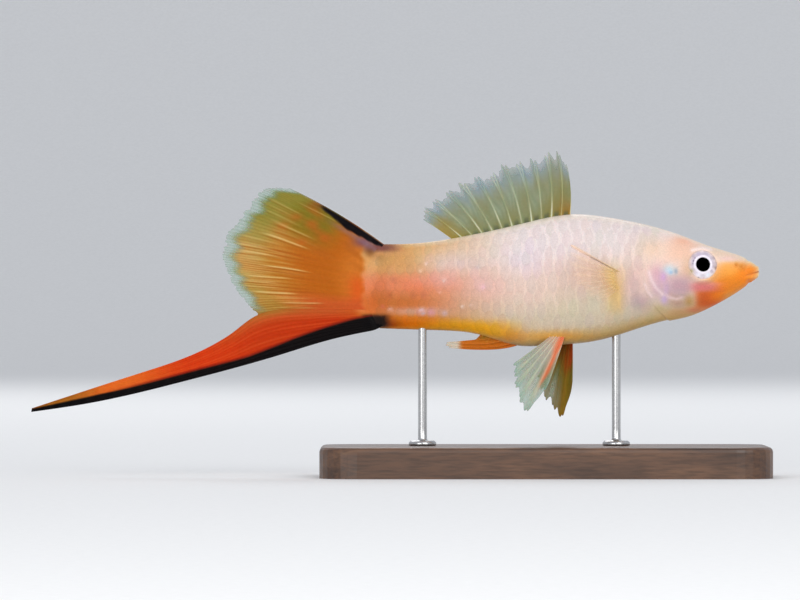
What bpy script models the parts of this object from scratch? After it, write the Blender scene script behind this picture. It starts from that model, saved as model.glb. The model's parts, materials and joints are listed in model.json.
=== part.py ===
"""A male swordtail of life size, swimming level above a plain display stand.

The head points to +X, the right side to -Y and +Z is up. The origin is the middle of the
underside of the stand's base. Sizes are in millimetres, and the meshes are in metres.

The body has its own coordinates (s, y, z): s is the distance behind the tip of the snout,
y is towards the left side, and z is the height above the tip of the snout.
"""

import math

import bmesh
import bpy
import numpy as np
from mathutils import Matrix, Vector

MM = 0.001
GAP = 0.3

# Where the tip of the snout is, over the middle of the stand.
SNOUT_X = 34.4
SNOUT_Z = 33.0

# The body's outline from the side and from above, at distances behind the snout.
BACK_AT = (0, 1.0, 3.0, 8.5, 16, 24, 30.5, 38.5, 48.5, 55, 64)
BACK_HEIGHT = (0, 1.25, 2.42, 4.2, 6.9, 8.6, 9.1, 7.55, 5.4, 4.5, 4.4)
BELLY_AT = (0, 0.6, 1.3, 3.0, 8.5, 12, 14.5, 20, 27, 34, 39.5, 45, 52, 64)
BELLY_HEIGHT = (0, -1.3, -1.85, -3.1, -6.25, -7.55, -7.95, -9.5, -11.45, -12.05, -11.95, -10.3)
BELLY_HEIGHT += (-9.6, -9.2)
WIDTH_AT = (0, 1.0, 3.0, 8.5, 14, 20, 27, 34, 42, 50, 57, 64)
HALF_WIDTH = (0, 1.75, 2.75, 4.05, 4.95, 5.35, 5.2, 4.7, 3.75, 2.85, 2.1, 1.15)

# The section's widest level, as a share of its height, and how square its upper and
# lower halves are: 2 is an ellipse, and more is squarer.
SECTION_AT = (0, 4, 9, 16, 24, 36, 48, 64)
WIDEST_SHARE = (0.5, 0.56, 0.62, 0.55, 0.5, 0.48, 0.5, 0.5)
UPPER_POWER = (2.0, 2.4, 2.7, 2.3, 2.0, 1.9, 2.0, 2.0)
LOWER_POWER = (2.0, 1.9, 1.85, 2.0, 2.2, 2.2, 2.1, 2.0)
RING_POINTS = 36

# The rear edge of the gill cover: its rearmost point, and how fast it runs forward
# above and below that point.
GILL_REACH = 18.6
GILL_LEVEL = -1.5
GILL_CURVE_ABOVE = 0.075
GILL_CURVE_BELOW = 0.1
FLAP_RISE = 0.32
FLAP_LENGTH = 2.6
FLAP_TOP = 5.0

# The lips: two rolls beside the line of the mouth, and the fold behind them.
MOUTH_FRONT = (-0.6, 0.1)
MOUTH_CORNER = (2.3, -0.75)
MOUTH_WIDTH = 0.32
LIP_RISE = 0.26
LIP_AWAY = 0.62
LIP_SPREAD = 0.34
LIP_FOLD_AT = 2.35
LIP_FOLD_LEAN = -0.22
LIP_FOLD_DEPTH = 0.26
LIP_FOLD_SPREAD = 0.32

# Where the trunk ends, and the rounded end of the tail's flesh.
TRUNK_END = 45.0
TAIL_REACH = 63.2
TAIL_LEVEL = -2.4
TAIL_CURVE = 0.05

# The eye, as deep in the head as a living one.
EYE_AT = (9.3, 0.98)
EYE_RADIUS = 2.44
CORNEA_RISE = 0.78
EYE_DEPTH = 1.5
EYE_SET = 0.3
EYE_YAW = math.radians(10)
EYE_PITCH = math.radians(8)
NOSTRIL_AT = (3.3, 0.95)
NOSTRIL_RADIUS = 0.36

# The dorsal fin's rays: where the first and last stand, and their tips as (share, s, z).
DORSAL_RAYS = 13
DORSAL_BASE = (30.4, 48.6)
DORSAL_TIPS = (
    (0, 31.0, 17.5),
    (0.09, 32.5, 19.4),
    (0.25, 36.6, 18.7),
    (0.5, 43.4, 16.4),
    (0.75, 50.2, 12.9),
    (0.92, 54.0, 9.9),
    (1, 54.2, 8.3),
)
DORSAL_BOW = (0.09, 0.04)

# The fan of the tail fin, from its upper ray to the one that lies on the sword.
FAN_RAYS = 15
FAN_BOW = (0.05, 0.0)
FAN_ROOT = (4.25, -6.2)
FAN_TIPS = (
    (0, 75.2, 13.2),
    (0.12, 79.2, 13.1),
    (0.27, 81.8, 10.4),
    (0.45, 85.6, 5.4),
    (0.6, 86.2, 1.8),
    (0.8, 84.2, -2.2),
    (1, 80.3, -6.1),
)

# The sword's edges from the flesh of the tail to the tip, as (share, s, z).
SWORD_RAYS = 5
SWORD_UPPER = (
    (0, 62.4, -6.6),
    (0.21, 73.6, -6.5),
    (0.33, 80.2, -7.4),
    (0.42, 85.1, -10.4),
    (0.68, 99.0, -16.3),
    (1, 116.5, -22.0),
)
SWORD_LOWER = (
    (0, 60.4, -9.3),
    (0.13, 68.0, -10.85),
    (0.29, 76.9, -13.5),
    (0.54, 91.2, -17.45),
    (0.82, 106.8, -21.1),
    (1, 116.6, -22.6),
)

# The anal fin, which in the male is a rod of three long rays with short ones behind it:
# each ray's root and tip as (s, z).
ANAL_RAYS = (
    ((37.9, -11.5), (49.8, -12.35)),
    ((39.3, -11.3), (50.3, -11.9)),
    ((40.8, -10.9), (49.9, -11.4)),
    ((42.2, -10.4), (46.4, -11.1)),
    ((43.4, -9.9), (45.3, -10.8)),
    ((44.3, -9.4), (44.9, -10.4)),
)
ANAL_BOW = 0.13
ANAL_BOW_AT = 0.25

# The pelvic fins: each ray's length, and each fin's root, sweep back from straight down
# for its first and last rays, and lean outwards.
PELVIC_LENGTHS = (8.6, 14.6, 13.1, 11.6, 10.0, 8.6)
PELVIC_ROOT_LENGTH = 1.8
PELVIC_ROOT_Z = -10.6
PELVIC_RIGHT = {"root": 31.1, "sweep": (19, 54), "lean": 17}
PELVIC_LEFT = {"root": 29.9, "sweep": (0, 29), "lean": 17}

# The pectoral fins, half spread.
PECTORAL_LENGTHS = (10.3, 10.8, 10.6, 10.0, 9.1, 8.1, 7.0, 5.9, 4.8)
PECTORAL_ROOT = (22.1, -0.45)
PECTORAL_ROOT_HEIGHT = 2.1
PECTORAL_SWEEP = (30, -38)
PECTORAL_SPREAD = (40, 24)

# Thicknesses as (root, middle, tip).
DORSAL_RIDGE, DORSAL_WEB = (1.2, 0.95, 0.3), (0.55, 0.5, 0.22)
TAIL_RIDGE, TAIL_WEB = (1.5, 0.95, 0.3), (0.8, 0.5, 0.22)
SWORD_RIDGE, SWORD_WEB = (1.5, 1.0, 0.4), (0.9, 0.55, 0.3)
ANAL_RIDGE, ANAL_WEB = (1.6, 1.3, 0.5), (1.1, 0.8, 0.4)
PELVIC_RIDGE, PELVIC_WEB = (1.1, 0.85, 0.3), (0.6, 0.5, 0.22)
PECTORAL_RIDGE, PECTORAL_WEB = (1.0, 0.8, 0.3), (0.55, 0.5, 0.22)

# The stand.
BASE_SIZE = (72.0, 36.0, 5.0)
BASE_CORNER = 6.0
BASE_EDGE = 0.8
ROD_RADIUS = 0.7
ROD_FOOT_RADIUS = 2.2
ROD_FOOT_HEIGHT = 0.8
ROD_AT = {"stand_rod_front": 23.0, "stand_rod_rear": 54.0}
ROD_SIDES = 20

# Colours as sRGB, 0 to 255, then roughness and metallic.
FINISHES = {
    "pearl_skin": ((228, 205, 190), 0.35, 0.0),
    "orange_skin": ((232, 150, 92), 0.38, 0.0),
    "eye": ((196, 198, 212), 0.1, 0.2),
    "clear_fin": ((176, 178, 132), 0.4, 0.0),
    "orange_fin": ((224, 128, 40), 0.4, 0.0),
    "red_fin": ((222, 72, 22), 0.4, 0.0),
    "pale_fin": ((226, 170, 110), 0.4, 0.0),
    "stand_wood": ((96, 66, 46), 0.45, 0.0),
    "stand_steel": ((190, 192, 196), 0.3, 1.0),
}


def natural_spline(knots, values):
    """The natural cubic spline through the values at the knots."""
    knots = np.array(knots, float)
    values = np.array(values, float)
    step = np.diff(knots)
    slope = np.diff(values, axis=0) / (step if values.ndim == 1 else step[:, None])
    system = np.eye(len(knots))
    right = np.zeros_like(values)
    for i in range(1, len(knots) - 1):
        system[i, i - 1 : i + 2] = step[i - 1], 2 * (step[i - 1] + step[i]), step[i]
        right[i] = 6 * (slope[i] - slope[i - 1])
    bend = np.linalg.solve(system, right)

    def at(x):
        i = int(np.clip(np.searchsorted(knots, x) - 1, 0, len(step) - 1))
        left, ahead = x - knots[i], knots[i + 1] - x
        cubic = (bend[i] * ahead**3 + bend[i + 1] * left**3) / (6 * step[i])
        start = (values[i] / step[i] - bend[i] * step[i] / 6) * ahead
        end = (values[i + 1] / step[i] - bend[i + 1] * step[i] / 6) * left
        return cubic + start + end

    return at


def along_body(stations, values):
    """A spline over the square root of the distance, which rounds the snout."""
    curve = natural_spline(np.sqrt(stations), values)
    return lambda s: float(curve(math.sqrt(max(s, 0.0))))


back_height = along_body(BACK_AT, BACK_HEIGHT)
belly_height = along_body(BELLY_AT, BELLY_HEIGHT)
half_width = along_body(WIDTH_AT, HALF_WIDTH)


def edge_curve(points):
    """A curve in the body's middle plane through points given as (share, s, z)."""
    curve = natural_spline([p[0] for p in points], [(p[1], 0.0, p[2]) for p in points])
    return lambda share: curve(share)


def gill_edge(z):
    """How far behind the snout the gill cover ends at height z."""
    curve = GILL_CURVE_ABOVE if z > GILL_LEVEL else GILL_CURVE_BELOW
    return GILL_REACH - curve * (z - GILL_LEVEL) ** 2


def behind_gill_edge(z):
    """The front of the trunk, one gap behind the gill cover."""
    curve = GILL_CURVE_ABOVE if z > GILL_LEVEL else GILL_CURVE_BELOW
    slope = 2 * curve * (z - GILL_LEVEL)
    return gill_edge(z) + GAP * math.hypot(1, slope)


def tail_end(z):
    """The rear end of the tail's flesh at height z."""
    return TAIL_REACH - TAIL_CURVE * (z - TAIL_LEVEL) ** 2


def bump(distance, spread):
    """1 at no distance, falling smoothly to 0."""
    return math.exp(-((distance / spread) ** 2))


def distance_to_mouth(s, z):
    """Signed distance above the line of the mouth, from the side."""
    (s0, z0), (s1, z1) = MOUTH_FRONT, MOUTH_CORNER
    length = math.hypot(s1 - s0, z1 - z0)
    return ((s1 - s0) * (z - z0) - (z1 - z0) * (s - s0)) / length


def head_relief(s, z):
    """How far the gill flap and the lips stand out from the plain head."""
    to_edge = max(gill_edge(z) - s, 0.0)
    fade_above = bump(max(z - FLAP_TOP, 0.0), 1.0)
    flap = FLAP_RISE * bump(to_edge, FLAP_LENGTH) * fade_above
    above = distance_to_mouth(s, z)
    before_corner = 1 / (1 + math.exp((s - MOUTH_CORNER[0]) / 0.15))
    lips = LIP_RISE * bump(abs(above) - LIP_AWAY, LIP_SPREAD) * before_corner
    fold_at = LIP_FOLD_AT + LIP_FOLD_LEAN * abs(z)
    fold = LIP_FOLD_DEPTH * bump(s - fold_at, LIP_FOLD_SPREAD) * min(abs(above), 1.0)
    return flap + lips - fold


def plain_relief(s, z):
    return 0.0


def section_point(s, angle):
    """(y, z) of the section at s: angle 0 is the belly, and a quarter turn the right side."""
    side, up = math.sin(angle), -math.cos(angle)
    top, bottom = back_height(s), belly_height(s)
    level = bottom + (top - bottom) * float(np.interp(s, SECTION_AT, WIDEST_SHARE))
    if up > 0:
        height = top - level
        power = 2 / float(np.interp(s, SECTION_AT, UPPER_POWER))
    else:
        height = level - bottom
        power = 2 / float(np.interp(s, SECTION_AT, LOWER_POWER))
    y = -half_width(s) * math.copysign(abs(side) ** power, side)
    z = level + height * math.copysign(abs(up) ** power, up)
    return np.array((y, z))


def skin_point(s, angle, relief, offset=0.0):
    """A point (s, y, z) of the skin, raised by the relief and the offset."""
    point = section_point(s, angle)
    along = section_point(s, angle + 1e-3) - section_point(s, angle - 1e-3)
    outward = np.array((-along[1], along[0]))
    outward /= max(np.linalg.norm(outward), 1e-9)
    y, z = point + outward * (relief(s, point[1]) + offset)
    return np.array((s, y, z))


def to_world(point):
    """Metres in the part's frame, from the body's own (s, y, z)."""
    s, y, z = point
    return Vector((SNOUT_X - s, y, SNOUT_Z + z)) * MM


def new_object(name, bm, collection):
    """Makes an object from a bmesh, with its faces out and its round parts smooth."""
    bmesh.ops.recalc_face_normals(bm, faces=bm.faces)
    mesh = bpy.data.meshes.new(name)
    bm.to_mesh(mesh)
    bm.free()
    mesh.shade_smooth()
    mesh.set_sharp_from_angle(angle=math.radians(40))
    obj = bpy.data.objects.new(name, mesh)
    collection.objects.link(obj)
    return obj


def cap(bm, ring):
    """Closes a ring that mirrors across the middle plane, with strips from side to side."""
    half = len(ring) // 2
    for k in range(half):
        corners = [ring[k], ring[k + 1], ring[-k - 1], ring[-k]]
        if k == 0:
            corners = corners[:3]
        if k == half - 1:
            corners = [ring[k], ring[k + 1], ring[-k]]
        bm.faces.new(corners)


def body_length(name, front, rear, shares, relief, collection, offset=0.0):
    """A closed length of the body. front and rear give each end's s at a height z, and
    shares place the rings between them. A front of None starts at the tip of the snout."""
    bm = bmesh.new()
    angles = [2 * math.pi * k / RING_POINTS for k in range(RING_POINTS)]
    rings = []
    for share in shares:
        ring = []
        for angle in angles:
            z = 0.0
            for _ in range(8):
                start = front(z) if front else -offset
                s = start + (rear(z) - start) * share
                z = section_point(s, angle)[1]
            ring.append(bm.verts.new(to_world(skin_point(s, angle, relief, offset))))
        rings.append(ring)
    for ring, following in zip(rings, rings[1:]):
        for k in range(RING_POINTS):
            after = (k + 1) % RING_POINTS
            bm.faces.new((ring[k], ring[after], following[after], following[k]))
    if front:
        cap(bm, rings[0])
    else:
        tip = bm.verts.new(to_world((-offset, 0.0, 0.0)))
        for k in range(RING_POINTS):
            bm.faces.new((rings[0][(k + 1) % RING_POINTS], rings[0][k], tip))
    cap(bm, rings[-1])
    return new_object(name, bm, collection)


def cut(obj, cutter, name):
    """Takes the cutter away from the object."""
    modifier = obj.modifiers.new(name, "BOOLEAN")
    modifier.operation = "DIFFERENCE"
    modifier.solver = "EXACT"
    modifier.object = cutter


def slab(name, outline, half_thickness, collection):
    """A flat outline of (s, z) points, thick across the body."""
    bm = bmesh.new()
    near = [bm.verts.new(to_world((s, -half_thickness, z))) for s, z in outline]
    face = bm.faces.new(near)
    grown = bmesh.ops.extrude_face_region(bm, geom=[face])
    moved = [v for v in grown["geom"] if isinstance(v, bmesh.types.BMVert)]
    bmesh.ops.translate(bm, verts=moved, vec=Vector((0, 2 * half_thickness * MM, 0)))
    return new_object(name, bm, collection)


def eye_frame(side):
    """The eye's place, with its local +Z looking out of the head. side is -1 on the right."""
    s, z = EYE_AT
    angle = nearest_angle(s, z)
    centre = skin_point(s, angle, plain_relief, -EYE_SET)
    centre[1] *= -side
    out = Vector((math.sin(EYE_YAW), side * math.cos(EYE_YAW), math.sin(EYE_PITCH)))
    turn = out.to_track_quat("Z", "Y").to_matrix().to_4x4()
    return Matrix.Translation(to_world(centre)) @ turn


def nearest_angle(s, z):
    """The angle round the right side at which the section has height z."""
    low, high = 0.0, math.pi
    for _ in range(40):
        middle = (low + high) / 2
        if section_point(s, middle)[1] < z:
            low = middle
        else:
            high = middle
    return (low + high) / 2


def eyeball(name, side, radius, rise, depth, collection):
    """A ball flattened before and behind, as a lens in its socket."""
    bm = bmesh.new()
    bmesh.ops.create_uvsphere(bm, u_segments=20, v_segments=12, radius=1.0)
    for vertex in bm.verts:
        reach = rise if vertex.co.z > 0 else depth
        vertex.co = Vector((vertex.co.x * radius, vertex.co.y * radius, vertex.co.z * reach)) * MM
    obj = new_object(name, bm, collection)
    obj.matrix_world = eye_frame(side)
    return obj


def nostril_cutter(name, side, collection):
    """A small ball sunk half way into the snout."""
    s, z = NOSTRIL_AT
    centre = skin_point(s, nearest_angle(s, z), head_relief)
    centre[1] *= -side
    bm = bmesh.new()
    bmesh.ops.create_icosphere(bm, subdivisions=2, radius=NOSTRIL_RADIUS * MM)
    obj = new_object(name, bm, collection)
    obj.location = to_world(centre)
    return obj


def mouth_outline():
    """The thin slot between the jaws, from the side."""
    (s0, z0), (s1, z1) = MOUTH_FRONT, MOUTH_CORNER
    half = MOUTH_WIDTH / 2
    return [(s0, z0 + half), (s1, z1 + half * 0.6), (s1, z1 - half * 0.6), (s0, z0 - half)]


def ray_through(root, bend, tip):
    """A ray from root to tip that leaves the root towards bend."""
    root, bend, tip = (np.array(p, float) for p in (root, bend, tip))
    return lambda t: (1 - t) ** 2 * root + 2 * t * (1 - t) * bend + t * t * tip


def bowed_ray(root, tip, bow, share=0.5):
    """A ray in the middle plane that bows up or forward by a part of its length."""
    root, tip = np.array(root, float), np.array(tip, float)
    across = np.array((-(tip[2] - root[2]), 0.0, tip[0] - root[0]))
    return ray_through(root, root + (tip - root) * share + across * bow, tip)


def between(ends, share):
    return ends[0] + (ends[1] - ends[0]) * share


def thickness_at(sizes, t):
    root, middle, tip = sizes
    return float(np.interp(t, (0, 0.25, 0.8, 1), (root, middle, middle * 0.8, tip)))


def ray_fin(name, rays, rows, ridge, web, notch, collection):
    """A closed fin: a thin web with a ridge raised along every ray on both faces, and an
    edge that dips between the tips. Both faces are split into the same triangles."""
    shares = np.linspace(0, 1, rows)
    points, thick = [], []
    for i in range(len(rays)):
        points.append([rays[i](t) for t in shares])
        thick.append([thickness_at(ridge, t) for t in shares])
        if i + 1 == len(rays):
            break
        for across in (0.27, 0.73):
            inner = shares * (1 - notch)
            mixed = [(1 - across) * rays[i](t) + across * rays[i + 1](t) for t in inner]
            points.append(mixed)
            thick.append([thickness_at(web, t) for t in shares])
    points, thick = np.array(points), np.array(thick)
    normal = np.cross(np.gradient(points, axis=0), np.gradient(points, axis=1))
    normal /= np.linalg.norm(normal, axis=2, keepdims=True)
    half = normal * thick[:, :, None] / 2
    bm = bmesh.new()
    faces = []
    for shift in (half, -half):
        grid = points + shift
        faces.append([[bm.verts.new(to_world(p)) for p in column] for column in grid])
    count = len(points)
    for side, grid in enumerate(faces):
        for c in range(count - 1):
            for r in range(rows - 1):
                a, b = grid[c][r], grid[c + 1][r]
                d, e = grid[c][r + 1], grid[c + 1][r + 1]
                pairs = ((a, b, e), (a, e, d)) if side == 0 else ((a, e, b), (a, d, e))
                for corners in pairs:
                    bm.faces.new(corners)
    border = [(c, 0) for c in range(count)]
    border += [(count - 1, r) for r in range(1, rows)]
    border += [(c, rows - 1) for c in range(count - 2, -1, -1)]
    border += [(0, r) for r in range(rows - 2, 0, -1)]
    front, rear = faces
    for (c0, r0), (c1, r1) in zip(border, border[1:] + border[:1]):
        bm.faces.new((front[c1][r1], front[c0][r0], rear[c0][r0]))
        bm.faces.new((front[c1][r1], rear[c0][r0], rear[c1][r1]))
    return new_object(name, bm, collection)


def dorsal_fin(collection):
    tips = edge_curve(DORSAL_TIPS)
    rays = []
    for i in range(DORSAL_RAYS):
        share = i / (DORSAL_RAYS - 1)
        s = between(DORSAL_BASE, share)
        root = (s, 0.0, back_height(s) - 0.9)
        rays.append(bowed_ray(root, tips(share), between(DORSAL_BOW, share)))
    return ray_fin("dorsal_fin", rays, 7, DORSAL_RIDGE, DORSAL_WEB, 0.05, collection)


def caudal_fin(collection):
    tips = edge_curve(FAN_TIPS)
    rays = []
    for i in range(FAN_RAYS):
        share = i / (FAN_RAYS - 1)
        z = between(FAN_ROOT, share)
        root = (tail_end(z) - 0.8, 0.0, z)
        rays.append(bowed_ray(root, tips(share), between(FAN_BOW, share)))
    return ray_fin("caudal_fin", rays, 8, TAIL_RIDGE, TAIL_WEB, 0.035, collection)


def sword(collection):
    upper, lower = edge_curve(SWORD_UPPER), edge_curve(SWORD_LOWER)

    def blade_ray(share):
        return lambda t: share * upper(t) + (1 - share) * lower(t)

    rays = [blade_ray(1 - i / (SWORD_RAYS - 1)) for i in range(SWORD_RAYS)]
    return ray_fin("sword", rays, 16, SWORD_RIDGE, SWORD_WEB, 0.0, collection)


def anal_fin(collection):
    rays = []
    for (s0, z0), (s1, z1) in ANAL_RAYS:
        rays.append(bowed_ray((s0, 0, z0), (s1, 0, z1), -ANAL_BOW, ANAL_BOW_AT))
    return ray_fin("anal_fin", rays, 7, ANAL_RIDGE, ANAL_WEB, 0.02, collection)


def pelvic_fin(name, pose, side, collection):
    """side is -1 on the right and 1 on the left."""
    rays = []
    lean = math.radians(pose["lean"])
    for i, length in enumerate(PELVIC_LENGTHS):
        share = i / (len(PELVIC_LENGTHS) - 1)
        sweep = math.radians(between(pose["sweep"], share))
        s = pose["root"] + PELVIC_ROOT_LENGTH * share
        root = skin_point(s, nearest_angle(s, PELVIC_ROOT_Z), plain_relief, -0.6)
        root[1] *= -side
        down = np.array((math.sin(sweep), 0.0, -math.cos(sweep)))
        out = np.array((0.0, side, 0.0))
        tip = root + length * (down * math.cos(lean) + out * math.sin(lean))
        bend = root + length * 0.45 * (down * math.cos(lean * 1.7) + out * math.sin(lean * 1.7))
        rays.append(ray_through(root, bend, tip))
    return ray_fin(name, rays, 7, PELVIC_RIDGE, PELVIC_WEB, 0.05, collection)


def pectoral_fin(name, side, collection):
    """side is -1 on the right and 1 on the left."""
    rays = []
    spread_root, spread_tip = (math.radians(a) for a in PECTORAL_SPREAD)
    for i, length in enumerate(PECTORAL_LENGTHS):
        share = i / (len(PECTORAL_LENGTHS) - 1)
        sweep = math.radians(between(PECTORAL_SWEEP, share))
        s = PECTORAL_ROOT[0]
        z = PECTORAL_ROOT[1] - PECTORAL_ROOT_HEIGHT * share
        root = skin_point(s, nearest_angle(s, z), plain_relief, -0.7)
        root[1] *= -side
        along = np.array((math.cos(sweep), 0.0, math.sin(sweep)))
        out = np.array((0.0, side, 0.0))
        tip = root + length * (along * math.cos(spread_tip) + out * math.sin(spread_tip))
        bend = root + length * 0.5 * (along * math.cos(spread_root) + out * math.sin(spread_root))
        rays.append(ray_through(root, bend, tip))
    return ray_fin(name, rays, 7, PECTORAL_RIDGE, PECTORAL_WEB, 0.05, collection)


def stand_base(collection):
    """A flat base with round corners and a softened upper edge."""
    bm = bmesh.new()
    bmesh.ops.create_cube(bm, size=1.0)
    bmesh.ops.scale(bm, vec=Vector(BASE_SIZE) * MM, verts=bm.verts)
    bmesh.ops.translate(bm, vec=Vector((0, 0, BASE_SIZE[2] / 2)) * MM, verts=bm.verts)
    upright = [e for e in bm.edges if abs(e.verts[0].co.z - e.verts[1].co.z) > MM]
    bmesh.ops.bevel(bm, geom=upright, offset=BASE_CORNER * MM, segments=7, affect="EDGES", profile=0.5)
    top = BASE_SIZE[2] * MM
    rim = [e for e in bm.edges if all(abs(v.co.z - top) < 1e-6 for v in e.verts)]
    bmesh.ops.bevel(bm, geom=rim, offset=BASE_EDGE * MM, segments=3, affect="EDGES", profile=0.5)
    return new_object("stand_base", bm, collection)


def stand_rod(name, s, collection):
    """A turned rod with a round foot. Its top runs into the body, which is cut away."""
    foot = BASE_SIZE[2] + GAP
    top = SNOUT_Z + belly_height(s) + 3.0
    profile = [
        (0.0, top),
        (ROD_RADIUS, top),
        (ROD_RADIUS, foot + ROD_FOOT_HEIGHT),
        (ROD_FOOT_RADIUS - 0.3, foot + ROD_FOOT_HEIGHT),
        (ROD_FOOT_RADIUS, foot + ROD_FOOT_HEIGHT - 0.3),
        (ROD_FOOT_RADIUS, foot),
        (0.0, foot),
    ]
    mesh = bpy.data.meshes.new(name)
    points = [(r * MM, 0.0, z * MM) for r, z in profile]
    mesh.from_pydata(points, [(i, i + 1) for i in range(len(points) - 1)], [])
    obj = bpy.data.objects.new(name, mesh)
    collection.objects.link(obj)
    obj.location.x = (SNOUT_X - s) * MM
    turn = obj.modifiers.new("Turn", "SCREW")
    turn.steps = turn.render_steps = ROD_SIDES
    turn.use_merge_vertices = True
    turn.merge_threshold = 1e-5
    return obj


def make_material(name):
    (red, green, blue), roughness, metallic = FINISHES[name]
    linear = [((c / 255 + 0.055) / 1.055) ** 2.4 for c in (red, green, blue)]
    material = bpy.data.materials.new(name)
    material.use_nodes = True
    shader = material.node_tree.nodes["Principled BSDF"]
    shader.inputs["Base Color"].default_value = (*linear, 1.0)
    shader.inputs["Roughness"].default_value = roughness
    shader.inputs["Metallic"].default_value = metallic
    material.diffuse_color = (*linear, 1.0)
    return material


def new_collection(name, hidden):
    collection = bpy.data.collections.new(name)
    bpy.context.scene.collection.children.link(collection)
    collection.hide_render = hidden
    return collection


def main():
    for obj in list(bpy.data.objects):
        bpy.data.objects.remove(obj)
    parts = new_collection("Swordtail", False)
    cutters = new_collection("Cutters", True)

    # Rings stand close together at the lips and at the gill cover.
    head_rings = (0.15, 0.4, 0.75, 1.1, 1.45, 1.8, 2.1, 2.4, 2.7, 3.1, 3.8, 4.9, 6.2, 7.6, 9.0)
    head_rings += (10.4, 11.8, 13.2, 14.6, 15.8, 16.8, 17.7, GILL_REACH)
    head_shares = [s / GILL_REACH for s in head_rings]
    clearance_shares = [s / TAIL_REACH for s in head_rings[:-2]]
    clearance_shares += list(np.linspace(17.7 / TAIL_REACH, 1, 26))

    head = body_length("head", None, gill_edge, head_shares, head_relief, parts)
    trunk = body_length(
        "trunk", behind_gill_edge, lambda z: TRUNK_END, np.linspace(0, 1, 17), plain_relief, parts
    )
    tail = body_length(
        "tail", lambda z: TRUNK_END + GAP, tail_end, np.linspace(0, 1, 11), plain_relief, parts
    )
    clearance = body_length(
        "body_clearance",
        None,
        lambda z: tail_end(z) + GAP,
        clearance_shares,
        plain_relief,
        cutters,
        offset=GAP,
    )

    eyes = []
    for name, side in (("right", -1), ("left", 1)):
        eyes.append(eyeball(f"eye_{name}", side, EYE_RADIUS, CORNEA_RISE, EYE_DEPTH, parts))
        grown = EYE_RADIUS + GAP, 3 * CORNEA_RISE, EYE_DEPTH + GAP
        cut(head, eyeball(f"socket_{name}", side, *grown, cutters), f"Socket {name}")
        cut(head, nostril_cutter(f"nostril_{name}", side, cutters), f"Nostril {name}")
    cut(head, slab("mouth_slot", mouth_outline(), HALF_WIDTH[3], cutters), "Mouth")

    dorsal = dorsal_fin(parts)
    fan = caudal_fin(parts)
    blade = sword(parts)
    anal = anal_fin(parts)
    pelvics = [
        pelvic_fin("pelvic_fin_right", PELVIC_RIGHT, -1, parts),
        pelvic_fin("pelvic_fin_left", PELVIC_LEFT, 1, parts),
    ]
    pectorals = [
        pectoral_fin("pectoral_fin_right", -1, parts),
        pectoral_fin("pectoral_fin_left", 1, parts),
    ]
    base = stand_base(parts)
    rods = [stand_rod(name, s, parts) for name, s in ROD_AT.items()]

    # Everything that grows from the body, or holds it, ends one gap off the skin.
    for obj in (dorsal, fan, blade, anal, *pelvics, *pectorals, *rods):
        cut(obj, clearance, "Clear of the body")
    for obj in cutters.objects:
        obj.hide_render = True
        obj.display_type = "WIRE"

    finishes = {
        "pearl_skin": [head, trunk],
        "orange_skin": [tail],
        "eye": eyes,
        "clear_fin": [dorsal],
        "orange_fin": [fan],
        "red_fin": [blade],
        "pale_fin": [anal, *pelvics, *pectorals],
        "stand_wood": [base],
        "stand_steel": rods,
    }
    for name, objects in finishes.items():
        material = make_material(name)
        for obj in objects:
            obj.data.materials.append(material)


main()
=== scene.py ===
"""The looks of a male swordtail that swims level above its display stand.

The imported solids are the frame. One smooth skin takes the place of the head, the trunk and
the tail, overlapping scales lie over it behind the gill covers, and finer eyes, fins and
rods take the place of the plain ones.

The body has its own coordinates (s, y, z) in millimetres: s is the distance behind the tip
of the snout, y is towards the left side, and z is the height above the tip of the snout.
A turn goes round the body from 0 at the belly over 0.25 at the right side and 0.5 at the
back. Colours are sRGB, 0 to 255. The meshes are in metres.
"""

import json
import math

import bpy
import numpy as np
from mathutils import Matrix, Vector

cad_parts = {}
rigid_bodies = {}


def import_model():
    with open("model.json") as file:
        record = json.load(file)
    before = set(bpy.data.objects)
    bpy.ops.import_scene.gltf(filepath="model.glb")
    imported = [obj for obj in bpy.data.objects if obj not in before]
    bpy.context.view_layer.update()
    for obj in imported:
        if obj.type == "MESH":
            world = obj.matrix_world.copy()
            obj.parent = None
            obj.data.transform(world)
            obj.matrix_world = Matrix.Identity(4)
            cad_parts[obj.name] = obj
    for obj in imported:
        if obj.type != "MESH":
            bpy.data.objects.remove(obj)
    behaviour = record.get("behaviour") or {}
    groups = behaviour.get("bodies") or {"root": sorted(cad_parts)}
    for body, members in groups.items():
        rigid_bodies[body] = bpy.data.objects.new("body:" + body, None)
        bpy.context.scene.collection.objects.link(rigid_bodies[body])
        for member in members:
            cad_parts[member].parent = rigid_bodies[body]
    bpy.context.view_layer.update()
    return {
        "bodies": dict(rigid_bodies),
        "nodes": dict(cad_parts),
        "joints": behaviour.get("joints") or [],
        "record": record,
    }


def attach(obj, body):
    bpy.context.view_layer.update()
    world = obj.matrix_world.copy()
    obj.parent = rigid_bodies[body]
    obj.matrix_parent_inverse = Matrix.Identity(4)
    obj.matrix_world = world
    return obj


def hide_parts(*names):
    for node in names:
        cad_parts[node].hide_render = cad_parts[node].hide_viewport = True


MM = 0.001
SEED = 11

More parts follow.
